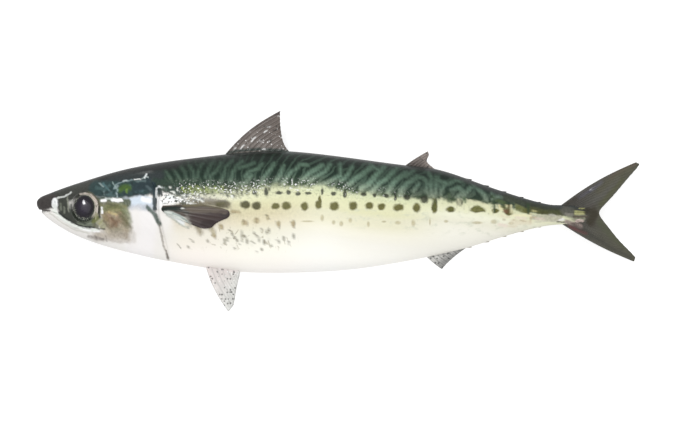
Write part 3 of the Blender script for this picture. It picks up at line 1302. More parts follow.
class Graph:
    """Wires up the nodes of one material."""

    def __init__(self, name: str) -> None:
        """Makes the material.

        Args:
            name: Its name.
        """
        self.material = bpy.data.materials.new(name)
        self.material.use_nodes = True
        self.tree = self.material.node_tree
        self.shader = self.tree.nodes["Principled BSDF"]

    def node(self, kind: str, **settings: object) -> Node:
        """Adds a node.

        Args:
            kind: Its type.
            settings: Its settings.

        Returns:
            The node.
        """
        node = self.tree.nodes.new("ShaderNode" + kind)
        for key, value in settings.items():
            setattr(node, key, value)
        return node

    def feed(self, socket: Socket, value: Feed) -> None:
        """Links a socket to another's output, or sets its value.

        Args:
            socket: The socket.
            value: The output or the value.
        """
        if isinstance(value, Socket):
            self.tree.links.new(value, socket)
        else:
            socket.default_value = tint(value) if isinstance(value, str) else value

    def fed(self, kind: str, *values: Feed, out: int = 0, **settings: object) -> Socket:
        """Adds a node and feeds its sockets in their order.

        Args:
            kind: Its type.
            values: What feeds the sockets.
            out: Which of its outputs is wanted.
            settings: Its settings.

        Returns:
            That output.
        """
        node = self.node(kind, **settings)
        for socket, value in zip(node.inputs, values):
            self.feed(socket, value)
        return node.outputs[out]

    def math(self, operation: str, *values: Feed, clamp: bool = False) -> Socket:
        """Adds a sum on numbers."""
        return self.fed("Math", *values, operation=operation, use_clamp=clamp)

    def times(self, *values: Feed) -> Feed:
        """Multiplies numbers."""
        return reduce(partial(self.math, "MULTIPLY"), values)

    def plus(self, *values: Feed) -> Feed:
        """Adds numbers."""
        return reduce(partial(self.math, "ADD"), values)

    def vector(self, operation: str, *values: Feed) -> Socket:
        """Adds a sum on vectors, whose second output is used where it comes to a number."""
        number = operation in ("LENGTH", "DOT_PRODUCT")
        return self.fed("VectorMath", *values, out=int(number), operation=operation)

    def mix(self, share: Feed, low: Feed, high: Feed) -> Socket:
        """Mixes two colours.

        Args:
            share: How much of the second shows, from 0 to 1.
            low, high: The first and the second colour.

        Returns:
            The mixture.
        """
        node = self.node("Mix", data_type="RGBA")
        for index, value in zip((0, 6, 7), (share, low, high)):
            self.feed(node.inputs[index], value)
        return node.outputs[2]

    def smooth(self, value: Feed, start: Feed, end: Feed) -> Socket:
        """Gives 0 at start, 1 at end and an easy slope between them."""
        return self.fed("MapRange", value, start, end, interpolation_type="SMOOTHSTEP")

    def stretch(self, value: Feed, rise: tuple[float, float], fall: tuple[float, float]) -> Feed:
        """Gives 1 along a stretch of value, with an easy slope up before it and down after it."""
        return self.times(self.smooth(value, *rise), self.smooth(value, *fall))

    def wavered(
        self, where: Feed, size: float, reach: float, detail: float = 2.0, seed: tuple = (0.0, 0.0, 0.0)
    ) -> Socket:
        """Shifts a place to and fro in its plane by noise.

        Args:
            where: The place.
            size: Size of the waves.
            reach: How far they shift it.
            detail: How many finer waves they carry.
            seed: Where in the noise they are read.

        Returns:
            The shifted place.
        """
        cloud = self.noise(self.vector("ADD", where, seed), size, detail).outputs[1]
        shift = self.vector("MULTIPLY", self.vector("SUBTRACT", cloud, (0.5,) * 3), (reach, reach, 0.0))
        return self.vector("ADD", where, shift)

    def noise(self, where: Feed, size: float, detail: float = 2.0, rough: float = 0.5) -> Node:
        """Adds noise.

        Args:
            where: The place.
            size: Size of its waves.
            detail, rough: How many finer waves they carry, and how strong those are.

        Returns:
            The node.
        """
        node = self.node("TexNoise")
        self.feed(node.inputs["Vector"], where)
        for name, value in (("Scale", 1 / size), ("Detail", detail), ("Roughness", rough)):
            node.inputs[name].default_value = value
        return node

    def cloud(self, where: Feed, size: float, detail: float = 2.0, rough: float = 0.5) -> Socket:
        """Gives the height of such noise."""
        return self.noise(where, size, detail, rough).outputs[0]

    def cells(self, where: Feed, size: float, feature: str = "F1") -> Node:
        """Adds a pattern of cells.

        Args:
            where: The place.
            size: Size of a cell.
            feature: What is measured in it.

        Returns:
            The node.
        """
        node = self.node("TexVoronoi", feature=feature)
        self.feed(node.inputs["Vector"], where)
        node.inputs["Scale"].default_value = 1 / size
        return node

    def attribute(self, name: str) -> Node:
        """Reads one of the mesh's attributes."""
        return self.node("Attribute", attribute_type="GEOMETRY", attribute_name=name)

    def ramp(self, value: Feed, stops: Sequence[tuple[float, str]], low: float, high: float) -> Socket:
        """Adds a row of colours.

        Args:
            value: What moves along the row.
            stops: Values and the colours seen at them.
            low: The lowest value.
            high: The highest value.

        Returns:
            The colour.
        """
        node = self.node("ValToRGB")
        share = self.math("DIVIDE", self.math("SUBTRACT", value, low), high - low, clamp=True)
        self.feed(node.inputs[0], share)
        marks = node.color_ramp.elements
        while len(marks) < len(stops):
            marks.new(0.5)
        for mark, (where, colour) in zip(marks, sorted(stops)):
            mark.position = (where - low) / (high - low)
            mark.color = tint(colour)
        return node.outputs[0]

    def fish_place(self) -> Socket:
        """Gives the place on the fish, in millimetres."""
        here = self.node("TexCoord").outputs["Object"]
        return self.vector("SUBTRACT", self.vector("MULTIPLY", here, (1 / MM,) * 3), (SNOUT_X, AXIS_Y, 0.0))

    def split(self, where: Feed) -> tuple[Socket, ...]:
        """Splits a vector into its three numbers."""
        return tuple(self.fed("SeparateXYZ", where).node.outputs)

    def join(self, *values: Feed) -> Socket:
        """Joins numbers into a vector."""
        return self.fed("CombineXYZ", *values)

    def ovals(self, where: Feed, spots: Spots, soft: float, size: float = 1.0) -> Feed:
        """Masks a set of ovals.

        Args:
            where: The place on the fish.
            spots: Each one's centre and half sizes, in millimetres.
            soft: How much of the size its edge fades over.
            size: How much larger than listed they are drawn.

        Returns:
            1 inside any oval.
        """
        mask: Feed = 0.0
        for x, y, half_x, half_y in spots:
            offset = self.vector("SUBTRACT", where, (x, y, 0.0))
            scale = (1 / (size * half_x), 1 / (size * half_y), 0.0)
            reach = self.vector("LENGTH", self.vector("MULTIPLY", offset, scale))
            mask = self.math("MAXIMUM", mask, self.smooth(reach, 1 + soft, 1 - soft))
        return mask

    def painted(self, colour: Feed) -> Socket:
        """Lays the mesh's painted marks over a colour."""
        marks = self.attribute("marks")
        return self.mix(marks.outputs["Alpha"], colour, marks.outputs["Color"])

    def wear(self, colour: Feed, roughness: Feed) -> None:
        """Gives the surface its colour and its roughness."""
        self.feed(self.shader.inputs["Base Color"], colour)
        self.feed(self.shader.inputs["Roughness"], roughness)

    def bump(self, *layers: tuple[Socket, float]) -> None:
        """Stacks bumps on the surface.

        Args:
            layers: Height fields, each with the height in millimetres that it stands for.
        """
        normal = None
        for height, millimetres in layers:
            node = self.node("Bump")
            node.inputs["Distance"].default_value = millimetres * MM
            self.feed(node.inputs["Height"], height)
            if normal is not None:
                self.feed(node.inputs["Normal"], normal)
            normal = node.outputs[0]
        self.feed(self.shader.inputs["Normal"], normal)

    def set(self, **values: float) -> None:
        """Sets numbers that are the same all over the surface, by socket name."""
        for name, value in values.items():
            self.shader.inputs[name.replace("_", " ")].default_value = value


@dataclass(frozen=True)
class SkinFinish:
    """Wet skin: wavy dark bars on a green back, a row of dots, and a cream belly.

    Attributes:
        back_edge, nape_edge: Colours of the ridge of the back, and of the ridge behind the head.
        tail_dusk: Colour that darkens the bars towards the tail.
        dot, dot_front: Colours of the row of dots, and of those by the pectoral fin.
        speck, faint: Colours of the specks over the dots and of the faint spots under them.
        squiggle, wisp, glint: Colours of the belly's fine marks, of its wisps and of the scales' sparks.
        flank_span, back_span: Heights over the green's edge between which their colours run.
        bars: How many bars there are to the millimetre at the snout, and how fast they thin out.
        dots, specks, faint_spots: Centres and half sizes of the spots.
    """

    back_edge: str = "3A3E3C"
    nape_edge: str = "1F2221"
    tail_dusk: str = "17271F"
    dot: str = "5C591C"
    dot_front: str = "403D00"
    speck: str = "23281A"
    faint: str = "B4A982"
    squiggle: str = "A79E84"
    glint: str = "FFFFFF"
    wisp: str = "CDD2BE"
    flank_span: tuple[float, float] = (-50, 5)
    back_span: tuple[float, float] = (-5, 26)
    bars: tuple[float, float] = (0.226, 0.00019)
    dots: Spots = (
        (108.6, 4.9, 3.5, 1.9), (122.1, 4.2, 2.5, 1.9), (128.6, 3.6, 2.3, 2.0), (139.6, 3.4, 2.0, 1.5),
        (145.8, 3.6, 2.3, 1.9), (156.3, 3.2, 1.8, 2.1), (164.2, 4.0, 1.6, 2.2), (165.0, 6.6, 0.9, 2.6),
        (173.4, 3.3, 2.3, 2.1), (184.2, 3.6, 2.0, 2.2), (193.6, 3.7, 2.0, 1.7), (200.6, 2.9, 1.9, 1.7),
        (210.4, 2.5, 2.5, 1.8), (220.9, 2.4, 1.9, 2.3), (231.2, 2.4, 1.5, 2.6), (240.7, 1.6, 2.2, 1.5),
        (256.4, 1.4, 3.4, 1.5), (266.7, 0.6, 1.8, 1.2), (274.8, -0.2, 2.0, 1.6), (285.0, 0.6, 2.2, 1.2),
    )
    specks: Spots = (
        (127.5, 11.3, 1.2, 0.9), (134.2, 11.8, 0.9, 1.8), (141.5, 11.0, 1.5, 0.8), (147.0, 11.4, 1.0, 1.0),
        (152.6, 10.5, 1.2, 0.9), (158.3, 10.7, 1.5, 0.7), (166.4, 11.6, 0.6, 1.4), (173.0, 10.6, 1.2, 0.9),
        (179.5, 10.4, 0.8, 1.8), (190.2, 10.2, 1.4, 0.8), (196.5, 9.6, 1.0, 0.8), (203.2, 9.3, 1.2, 0.8),
        (208.6, 8.7, 0.6, 1.8), (215.2, 8.2, 1.6, 1.2), (225.4, 7.2, 1.8, 1.7), (232.0, 5.8, 0.8, 1.6),
        (246.0, 5.4, 1.4, 1.5),
    )
    faint_spots: Spots = (
        (116.4, 0.4, 2.2, 0.8), (121.0, -6.2, 1.2, 1.8), (128.6, -5.0, 2.0, 1.8), (135.0, -3.2, 1.0, 1.7),
        (141.4, -6.6, 1.2, 1.6), (149.8, -6.6, 1.3, 1.7), (158.0, -5.4, 3.4, 0.5), (166.4, -3.4, 1.0, 1.8),
        (173.0, -6.0, 1.0, 1.2), (177.4, -6.8, 1.1, 1.4), (182.6, -4.8, 1.0, 1.3), (193.0, -7.0, 0.8, 1.6),
        (202.0, -5.6, 1.2, 0.6), (210.0, -6.2, 1.6, 1.0), (219.0, -6.4, 1.2, 1.8), (228.6, -5.6, 0.5, 2.0),
        (238.0, -5.4, 1.2, 0.8), (108.0, -8.6, 1.3, 1.6), (104.0, -13.4, 1.4, 1.2), (256.0, -6.2, 3.0, 0.8),
        (266.0, -5.6, 1.8, 1.2), (276.0, -6.6, 1.6, 0.8),
    )

    def material(self) -> Material:
        """Makes the skin.

        Returns:
            The material.
        """
        graph = Graph("wet_skin")
        here = graph.fish_place()
        x, y, _ = graph.split(here)
        girth = graph.attribute("girth").outputs["Fac"]
        rise = graph.attribute("rise").outputs["Fac"]
        flat = graph.join(x, y, 0.0)
        colour = self.spotted_side(graph, x, y, flat, rise)
        bars = self.barred_back(graph, x, girth, rise)
        colour = graph.mix(self.green_share(graph, x, flat, rise), colour, bars)
        bent = graph.wavered(flat, 2.4, 1.6)
        specks = graph.times(graph.ovals(bent, self.specks, 0.4, 1.3), 0.9)
        colour = graph.mix(specks, colour, self.speck)
        dots = graph.times(graph.ovals(bent, self.dots, 0.34, 1.18), 0.95)
        olive = graph.mix(graph.smooth(x, 137, 131), self.dot, self.dot_front)
        colour = graph.mix(dots, colour, olive)
        colour = graph.painted(colour)
        colour = graph.mix(self.pits(graph, x, flat, rise), colour, self.speck)
        colour = graph.mix(self.glints(graph, x, flat, rise), colour, self.glint)
        grain = graph.cloud(here, 2.2, 3)
        roughness = graph.plus(0.3, graph.times(grain, 0.22))
        graph.wear(self.mottled(graph, colour, flat, rise), roughness)
        scales = graph.cells(here, 1.1)
        graph.bump((scales.outputs["Distance"], 0.05), (graph.cloud(here, 3.2, 3), 0.12))
        graph.set(Specular_IOR_Level=0.2, Coat_Weight=0.15, Coat_Roughness=0.16, Coat_IOR=1.35)
        return graph.material

    def spotted_side(self, graph: Graph, x: Feed, y: Feed, flat: Feed, rise: Feed) -> Socket:
        """Colours the pale flank with its faint spots, fine marks and wisps.

        Args:
            graph: The material.
            x, y: The place along and up the fish.
            flat: The place in the fish's plane.
            rise: The height over the green's edge.

        Returns:
            The colour.
        """
        colour = self.pale_side(graph, x, rise)
        faint = graph.times(graph.ovals(flat, self.faint_spots, 0.5), 0.62)
        colour = graph.mix(faint, colour, self.faint)
        colour = graph.mix(self.squiggles(graph, x, y, flat), colour, self.squiggle)
        cloud = graph.cloud(graph.vector("MULTIPLY", flat, (0.5, 1.0, 0.0)), 2.6, 3)
        band = graph.stretch(rise, (-22, -16), (-5, -9))
        wisps = graph.times(graph.smooth(cloud, 0.5, 0.72), band, graph.smooth(x, 150, 190), 0.5)
        return graph.mix(wisps, colour, self.wisp)

    @staticmethod
    def green_share(graph: Graph, x: Feed, flat: Feed, rise: Feed) -> Socket:
        """Masks the barred back down to its uneven lower edge, which is softer behind the head.

        Args:
            graph: The material.
            x: The place along the fish.
            flat: The place in the fish's plane.
            rise: The height over the green's edge.

        Returns:
            1 on the barred back.
        """
        drift = graph.times(graph.math("SUBTRACT", graph.cloud(flat, 9), 0.5), 5.0)
        edge = graph.plus(rise, drift, graph.times(graph.cloud(flat, 2.2, 2), 2.0))
        soft = graph.times(graph.smooth(x, 170, 110), 2.2)
        return graph.smooth(edge, graph.math("SUBTRACT", -0.2, soft), graph.plus(2.2, soft))

    @staticmethod
    def mottled(graph: Graph, colour: Feed, flat: Feed, rise: Feed) -> Socket:
        """Mottles the dark parts of a colour and lifts the belly.

        Args:
            graph: The material.
            colour: The colour.
            flat: The place in the fish's plane.
            rise: The height over the green's edge.

        Returns:
            The new colour.
        """
        cloud = graph.math("SUBTRACT", graph.cloud(flat, 1.5, 3, 0.6), 0.5)
        mottle = graph.times(cloud, 1.1, graph.smooth(graph.fed("RGBToBW", colour), 0.74, 0.2))
        belly = graph.times(graph.smooth(rise, -26, -40), 0.14)
        level = graph.plus(1.0, mottle, belly)
        return graph.vector("MULTIPLY", colour, graph.join(level, level, level))

    def pale_side(self, graph: Graph, x: Feed, rise: Feed) -> Socket:
        """Colours the flank below the bars, from straw through cream to white, paler towards the tail.

        Args:
            graph: The material.
            x: The place along the fish.
            rise: The height over the green's edge.

        Returns:
            The colour.
        """
        front = graph.ramp(rise, (
            (2, "A8B49A"), (-3, "C4C5AC"), (-8, "C2BBA2"), (-14, "CFC6B0"), (-20, "E6DECC"), (-26, "F5F0E2"),
            (-31, "F9F3E7"), (-37, "FCF6EE"), (-48, "FEF7F2"),
        ), *self.flank_span)
        shoulder = graph.ramp(rise, (
            (2, "C2C9A6"), (-2, "D8DBB4"), (-5, "DDDFB8"), (-9, "DEDBB2"), (-12, "DAD4AE"), (-15.5, "DCD4B2"),
            (-19.6, "EAE2C6"), (-25, "F4F1DE"), (-31, "FAF8EA"), (-48, "FFFBF5"),
        ), *self.flank_span)
        middle = graph.ramp(rise, (
            (2, "CFD8B4"), (-2, "D9DFB6"), (-4.5, "E4E6BC"), (-8, "E6E6BE"), (-11, "E6E5BE"),
            (-13.5, "E9E7CA"), (-18, "F0EDD2"), (-23, "FCF9E8"), (-29, "FFFDF3"), (-48, "FFFEFA"),
        ), *self.flank_span)
        rear = graph.ramp(rise, (
            (2, "CBD2AE"), (-2, "DDDFBA"), (-5, "EAEBCB"), (-8, "F4F4DD"), (-12, "F0EEDB"), (-16, "F9F7E9"),
            (-20, "FCFAEE"), (-48, "FFFDF6"),
        ), *self.flank_span)
        colour = graph.mix(graph.smooth(x, 95, 125), front, shoulder)
        colour = graph.mix(graph.smooth(x, 135, 170), colour, middle)
        return graph.mix(graph.smooth(x, 205, 245), colour, rear)

    def barred_back(self, graph: Graph, x: Feed, girth: Feed, rise: Feed) -> Socket:
        """Colours the back: pale bands that waver, fork and lean, wider apart towards the tail.

        Args:
            graph: The material.
            x: The place along the fish.
            girth: The way round from the ridge of the back.
            rise: The height over the green's edge.

        Returns:
            The colour.
        """
        here = graph.join(x, girth, 0.0)
        for size, reach, seed in ((15.0, 9.0, 3.1), (6.0, 3.4, 8.7)):
            here = graph.wavered(here, size, reach, 1.0, (seed * 10, 0.0, seed))
        bent_x, bent_girth, _ = graph.split(here)
        dense, thinning = self.bars
        run = graph.times(bent_x, graph.math("SUBTRACT", dense, graph.times(bent_x, thinning)))
        lean = graph.math("SUBTRACT", graph.times(graph.smooth(x, 92, 158), 0.135), 0.03)
        phase = graph.plus(run, graph.times(bent_girth, lean))
        wave = graph.math("SINE", graph.times(phase, 2 * math.pi))
        drawn = graph.attribute("light").outputs["Fac"]
        light = graph.math("MAXIMUM", drawn, graph.times(graph.smooth(wave, 0.2, 1.0), 0.35))
        grain = graph.cloud(graph.join(x, girth, 0.0), 1.8, 3)
        strength = graph.plus(0.35, graph.times(graph.smooth(x, 80, 160), 0.65))
        light = graph.times(light, graph.plus(0.7, graph.times(grain, 0.5)), strength)
        dark = graph.ramp(rise, (
            (-3, "7B886C"), (0, "4E5F41"), (3, "2D402F"), (7, "142B1F"), (12, "0B2015"), (18, "0F1D16"),
            (24, "191F1D"),
        ), *self.back_span)
        pale = graph.ramp(rise, (
            (-3, "D2D8B8"), (0, "C2CCAE"), (3, "94A690"), (7, "728D7A"), (12, "587260"), (18, "41584B"),
            (24, "323835"),
        ), *self.back_span)
        rear = graph.times(graph.smooth(x, 198, 222), 0.38)
        colour = graph.mix(rear, graph.mix(light, dark, pale), self.tail_dusk)
        ridge = graph.mix(graph.smooth(x, 88, 128), self.nape_edge, self.back_edge)
        return graph.mix(graph.smooth(girth, 8.5, 4.0), colour, ridge)

    @staticmethod
    def squiggles(graph: Graph, x: Feed, y: Feed, flat: Feed) -> Feed:
        """Masks the thin broken marks on the belly behind the pectoral fin.

        Args:
            graph: The material.
            x, y: The place along and up the fish.
            flat: The place in the fish's plane.

        Returns:
            The mask.
        """
        field = graph.times(graph.stretch(x, (94, 104), (156, 140)), graph.stretch(y, (-25, -17), (-5, -11)))
        stretched = graph.vector("MULTIPLY", flat, (1.0, 0.6, 0.0))
        lines = graph.smooth(graph.cells(stretched, 3.6, "DISTANCE_TO_EDGE").outputs["Distance"], 0.1, 0.02)
        broken = graph.smooth(graph.cloud(flat, 3.2, 1), 0.54, 0.64)
        return graph.times(field, lines, broken, 0.6)

    def pits(self, graph: Graph, x: Feed, flat: Feed, rise: Feed) -> Socket:
        """Masks the fine dark grain where the bars end.

        Args:
            graph: The material.
            x: The place along the fish.
            flat: The place in the fish's plane.
            rise: The height over the green's edge.

        Returns:
            The mask.
        """
        cloud = graph.cloud(graph.vector("ADD", flat, (31.0, 5.0, 0.0)), 1.5, 2)
        grain = graph.smooth(cloud, 0.52, 0.64)
        middle = graph.times(graph.smooth(x, 195, 160), 0.18)
        front = graph.times(graph.smooth(x, 135, 95), 0.45)
        strength = graph.times(graph.plus(0.12, middle, front), graph.stretch(x, (70, 76), (245, 215)))
        grit = graph.times(graph.stretch(rise, (-8.0, -3.0), (5.0, 1.0)), strength)
        return graph.times(grain, graph.math("MAXIMUM", grit, self.shoulder(graph, x, rise)))

    @staticmethod
    def shoulder(graph: Graph, x: Feed, rise: Feed) -> Feed:
        """Masks the torn, glittering patch above the root of the pectoral fin."""
        run = graph.stretch(x, (72, 75), (101, 88))
        return graph.times(run, graph.stretch(rise, (-10, -7.5), (-2.5, -4.5)))

    def glints(self, graph: Graph, x: Feed, flat: Feed, rise: Feed) -> Socket:
        """Masks the small white sparks of wet scales along the lower edge of the bars.

        Args:
            graph: The material.
            x: The place along the fish.
            flat: The place in the fish's plane.
            rise: The height over the green's edge.

        Returns:
            The mask.
        """
        spark = graph.smooth(graph.cloud(flat, 1.1, 1), 0.57, 0.68)
        patch = graph.smooth(graph.cloud(flat, 9.0, 1), 0.38, 0.6)
        rear = graph.times(graph.smooth(x, 225, 195), 0.5)
        middle = graph.times(graph.smooth(x, 195, 160), 0.5)
        run = graph.times(graph.smooth(x, 79, 88), graph.plus(rear, middle))
        spread = graph.times(run, patch, graph.stretch(rise, (-5.0, -1.0), (7.0, 1.5)))
        return graph.times(spark, graph.math("MAXIMUM", spread, self.shoulder(graph, x, rise)))


@dataclass(frozen=True)
class FinFinish:
    """A membrane between rays.

    Attributes:
        web, edge, ray: Colours of the web at the root and at the margin, and of the rays.
        spark, fleck: How many white sparks and dark flecks it carries, from 0 to 1.
        strength: How clearly the rays stand out, from 0 to 1.
        spark_colour, fleck_colour: Colours of the sparks and the flecks.
    """

    web: str
    edge: str
    ray: str
    spark: float = 0.0
    fleck: float = 0.0
    strength: float = 0.6
    spark_colour: str = "F2F2F0"
    fleck_colour: str = "4A4A48"

    def material(self, name: str, rays: int) -> Material:
        """Makes the membrane.

        Args:
            name: The fin's name.
            rays: Number of webs between the rays.

        Returns:
            The material.
        """
        graph = Graph(name + "_membrane")
        here = graph.fish_place()
        across = graph.attribute("across").outputs["Fac"]
        along = graph.attribute("along").outputs["Fac"]
        lines = graph.math("PINGPONG", graph.times(across, float(rays)), 0.5)
        fine = graph.math("PINGPONG", graph.times(across, 2.0 * rays), 0.5)
        branch = graph.times(graph.smooth(fine, 0.22, 0.05), graph.smooth(along, 0.35, 0.7), 0.7)
        ray = graph.math("MAXIMUM", graph.smooth(lines, 0.2, 0.04), branch)
        cloud = graph.cloud(here, 5.0, 3)
        colour = graph.mix(graph.smooth(along, 0.1, 1.0), self.web, self.edge)
        colour = graph.mix(graph.times(graph.smooth(cloud, 0.35, 0.7), 0.3), colour, self.ray)
        colour = graph.mix(graph.times(ray, self.strength), colour, self.ray)
        flecks = graph.cells(graph.vector("ADD", here, (7.3, 2.1, 0.0)), 1.3)
        dark = graph.times(self.chosen(graph, flecks, 1, self.fleck, (0.6, 0.3)), 0.8)
        colour = graph.mix(dark, colour, self.fleck_colour)
        bright = graph.times(self.chosen(graph, graph.cells(here, 1.15), 0, self.spark, (0.5, 0.2)), 0.9)
        colour = graph.mix(bright, colour, self.spark_colour)
        graph.wear(graph.painted(colour), graph.plus(0.32, graph.times(cloud, 0.2)))
        graph.bump((ray, 0.32 * self.strength), (graph.cloud(here, 1.6, 2), 0.05))
        graph.set(Specular_IOR_Level=0.15, Coat_Weight=0.1, Coat_Roughness=0.2, Coat_IOR=1.35)
        return graph.material

    @staticmethod
    def chosen(graph: Graph, cells: Node, channel: int, amount: float, reach: tuple) -> Feed:
        """Masks the hearts of a few cells, picked by chance.

        Args:
            graph: The material.
            cells: The cells.
            channel: Which number of a cell's random colour picks it.
            amount: How many are picked, from 0 to 1.
            reach: Distances from the heart at which the mask ends and is full.

        Returns:
            1 at the hearts of the picked cells.
        """
        least = 1 - amount * 0.4
        picked = graph.smooth(graph.split(cells.outputs["Color"])[channel], least, least + 0.02)
        return graph.times(picked, graph.smooth(cells.outputs["Distance"], *reach))


@dataclass(frozen=True)
class EyeFinish:
    """A dark pupil in a pearly ring, under clear tissue.

    Attributes:
        pupil, pupil_haze: Colours of the pupil's edge and heart.
        ring_dark, ring_olive: Colours of the ring, below and above.
        grit, ring_pearl, ring_thread: Colours of its specks, its rim and the thread inside the rim.
        catch_light: Colour of the light caught in the pupil.
        catch_spot: Centre and half sizes of that light.
        centre: Centre of the pupil.
        pupil_size, rim_size, ball_size: Half sizes of the pupil, the rim and the whole eye.
        pearl_way, low_way: Directions in which the rim turns pearly and the ring turns dark.
    """

    pupil: str = "120D18"
    pupil_haze: str = "262030"
    ring_dark: str = "343B36"
    ring_olive: str = "41443A"
    grit: str = "A9AC9C"
    ring_pearl: str = "EDE3DA"
    ring_thread: str = "C9C6B8"
    catch_light: str = "F4F4F8"
    catch_spot: Spot = (28.5, 5.6, 0.6, 1.3)
    centre: tuple[float, float] = (28.6, 2.8)
    pupil_size: tuple[float, float] = (5.5, 6.6)
    rim_size: tuple[float, float] = (6.9, 7.9)
    ball_size: tuple[float, float] = (7.0, 7.8)
    pearl_way: tuple[float, float] = (0.86, 0.5)
    low_way: tuple[float, float] = (0.2, -0.98)

    def material(self) -> Material:
        """Makes the eye.

        Returns:
            The material.
        """
        graph = Graph("clear_eye")
        here = graph.wavered(graph.fish_place(), 1.6, 0.7, 3)
        offset = graph.vector("SUBTRACT", here, (*self.centre, 0.0))
        pupil = graph.vector("LENGTH", self.scaled(graph, offset, self.pupil_size))
        rim = graph.vector("LENGTH", self.scaled(graph, offset, self.rim_size))
        share = self.scaled(graph, offset, self.ball_size)
        right = graph.vector("DOT_PRODUCT", share, (*self.pearl_way, 0.0))
        low = graph.vector("DOT_PRODUCT", share, (*self.low_way, 0.0))
        ring = graph.mix(graph.smooth(low, 0.2, 0.8), self.ring_olive, self.ring_dark)
        pearl = graph.times(graph.smooth(rim, 0.9, 1.0), graph.smooth(right, -0.05, 0.6))
        ring = graph.mix(pearl, ring, self.ring_pearl)
        thread = graph.smooth(graph.math("ABSOLUTE", graph.math("SUBTRACT", rim, 0.93)), 0.06, 0.0)
        ring = graph.mix(graph.times(thread, graph.smooth(right, 0.1, 0.5)), ring, self.ring_thread)
        heart = graph.mix(graph.smooth(pupil, 0.9, 0.2), self.pupil, self.pupil_haze)
        colour = graph.mix(graph.smooth(pupil, 1.08, 0.92), ring, heart)
        cloud = graph.cloud(graph.vector("ADD", here, (9.0, 4.0, 0.0)), 0.7, 1)
        grit = graph.times(graph.smooth(cloud, 0.56, 0.64), graph.smooth(pupil, 0.8, 1.05), 0.7)
        colour = graph.mix(graph.times(grit, graph.smooth(right, 0.3, -0.3)), colour, self.grit)
        catch = graph.ovals(graph.join(*graph.split(here)[:2], 0.0), (self.catch_spot,), 0.4)
        colour = graph.mix(graph.times(catch, 0.85), colour, self.catch_light)
        flow = graph.cloud(here, 1.2, 2)
        graph.wear(colour, graph.plus(0.2, graph.times(flow, 0.15)))
        graph.bump((flow, 0.03))
        graph.set(Specular_IOR_Level=0.2, Coat_Weight=0.6, Coat_Roughness=0.03, Coat_IOR=1.34)
        return graph.material

    @staticmethod
    def scaled(graph: Graph, offset: Feed, halves: tuple[float, float]) -> Socket:
        """Gives a place's offset from the centre as shares of an oval's half sizes."""
        return graph.vector("MULTIPLY", offset, (1 / halves[0], 1 / halves[1], 0.0))


# ---------------------------------------------------------------- the studio


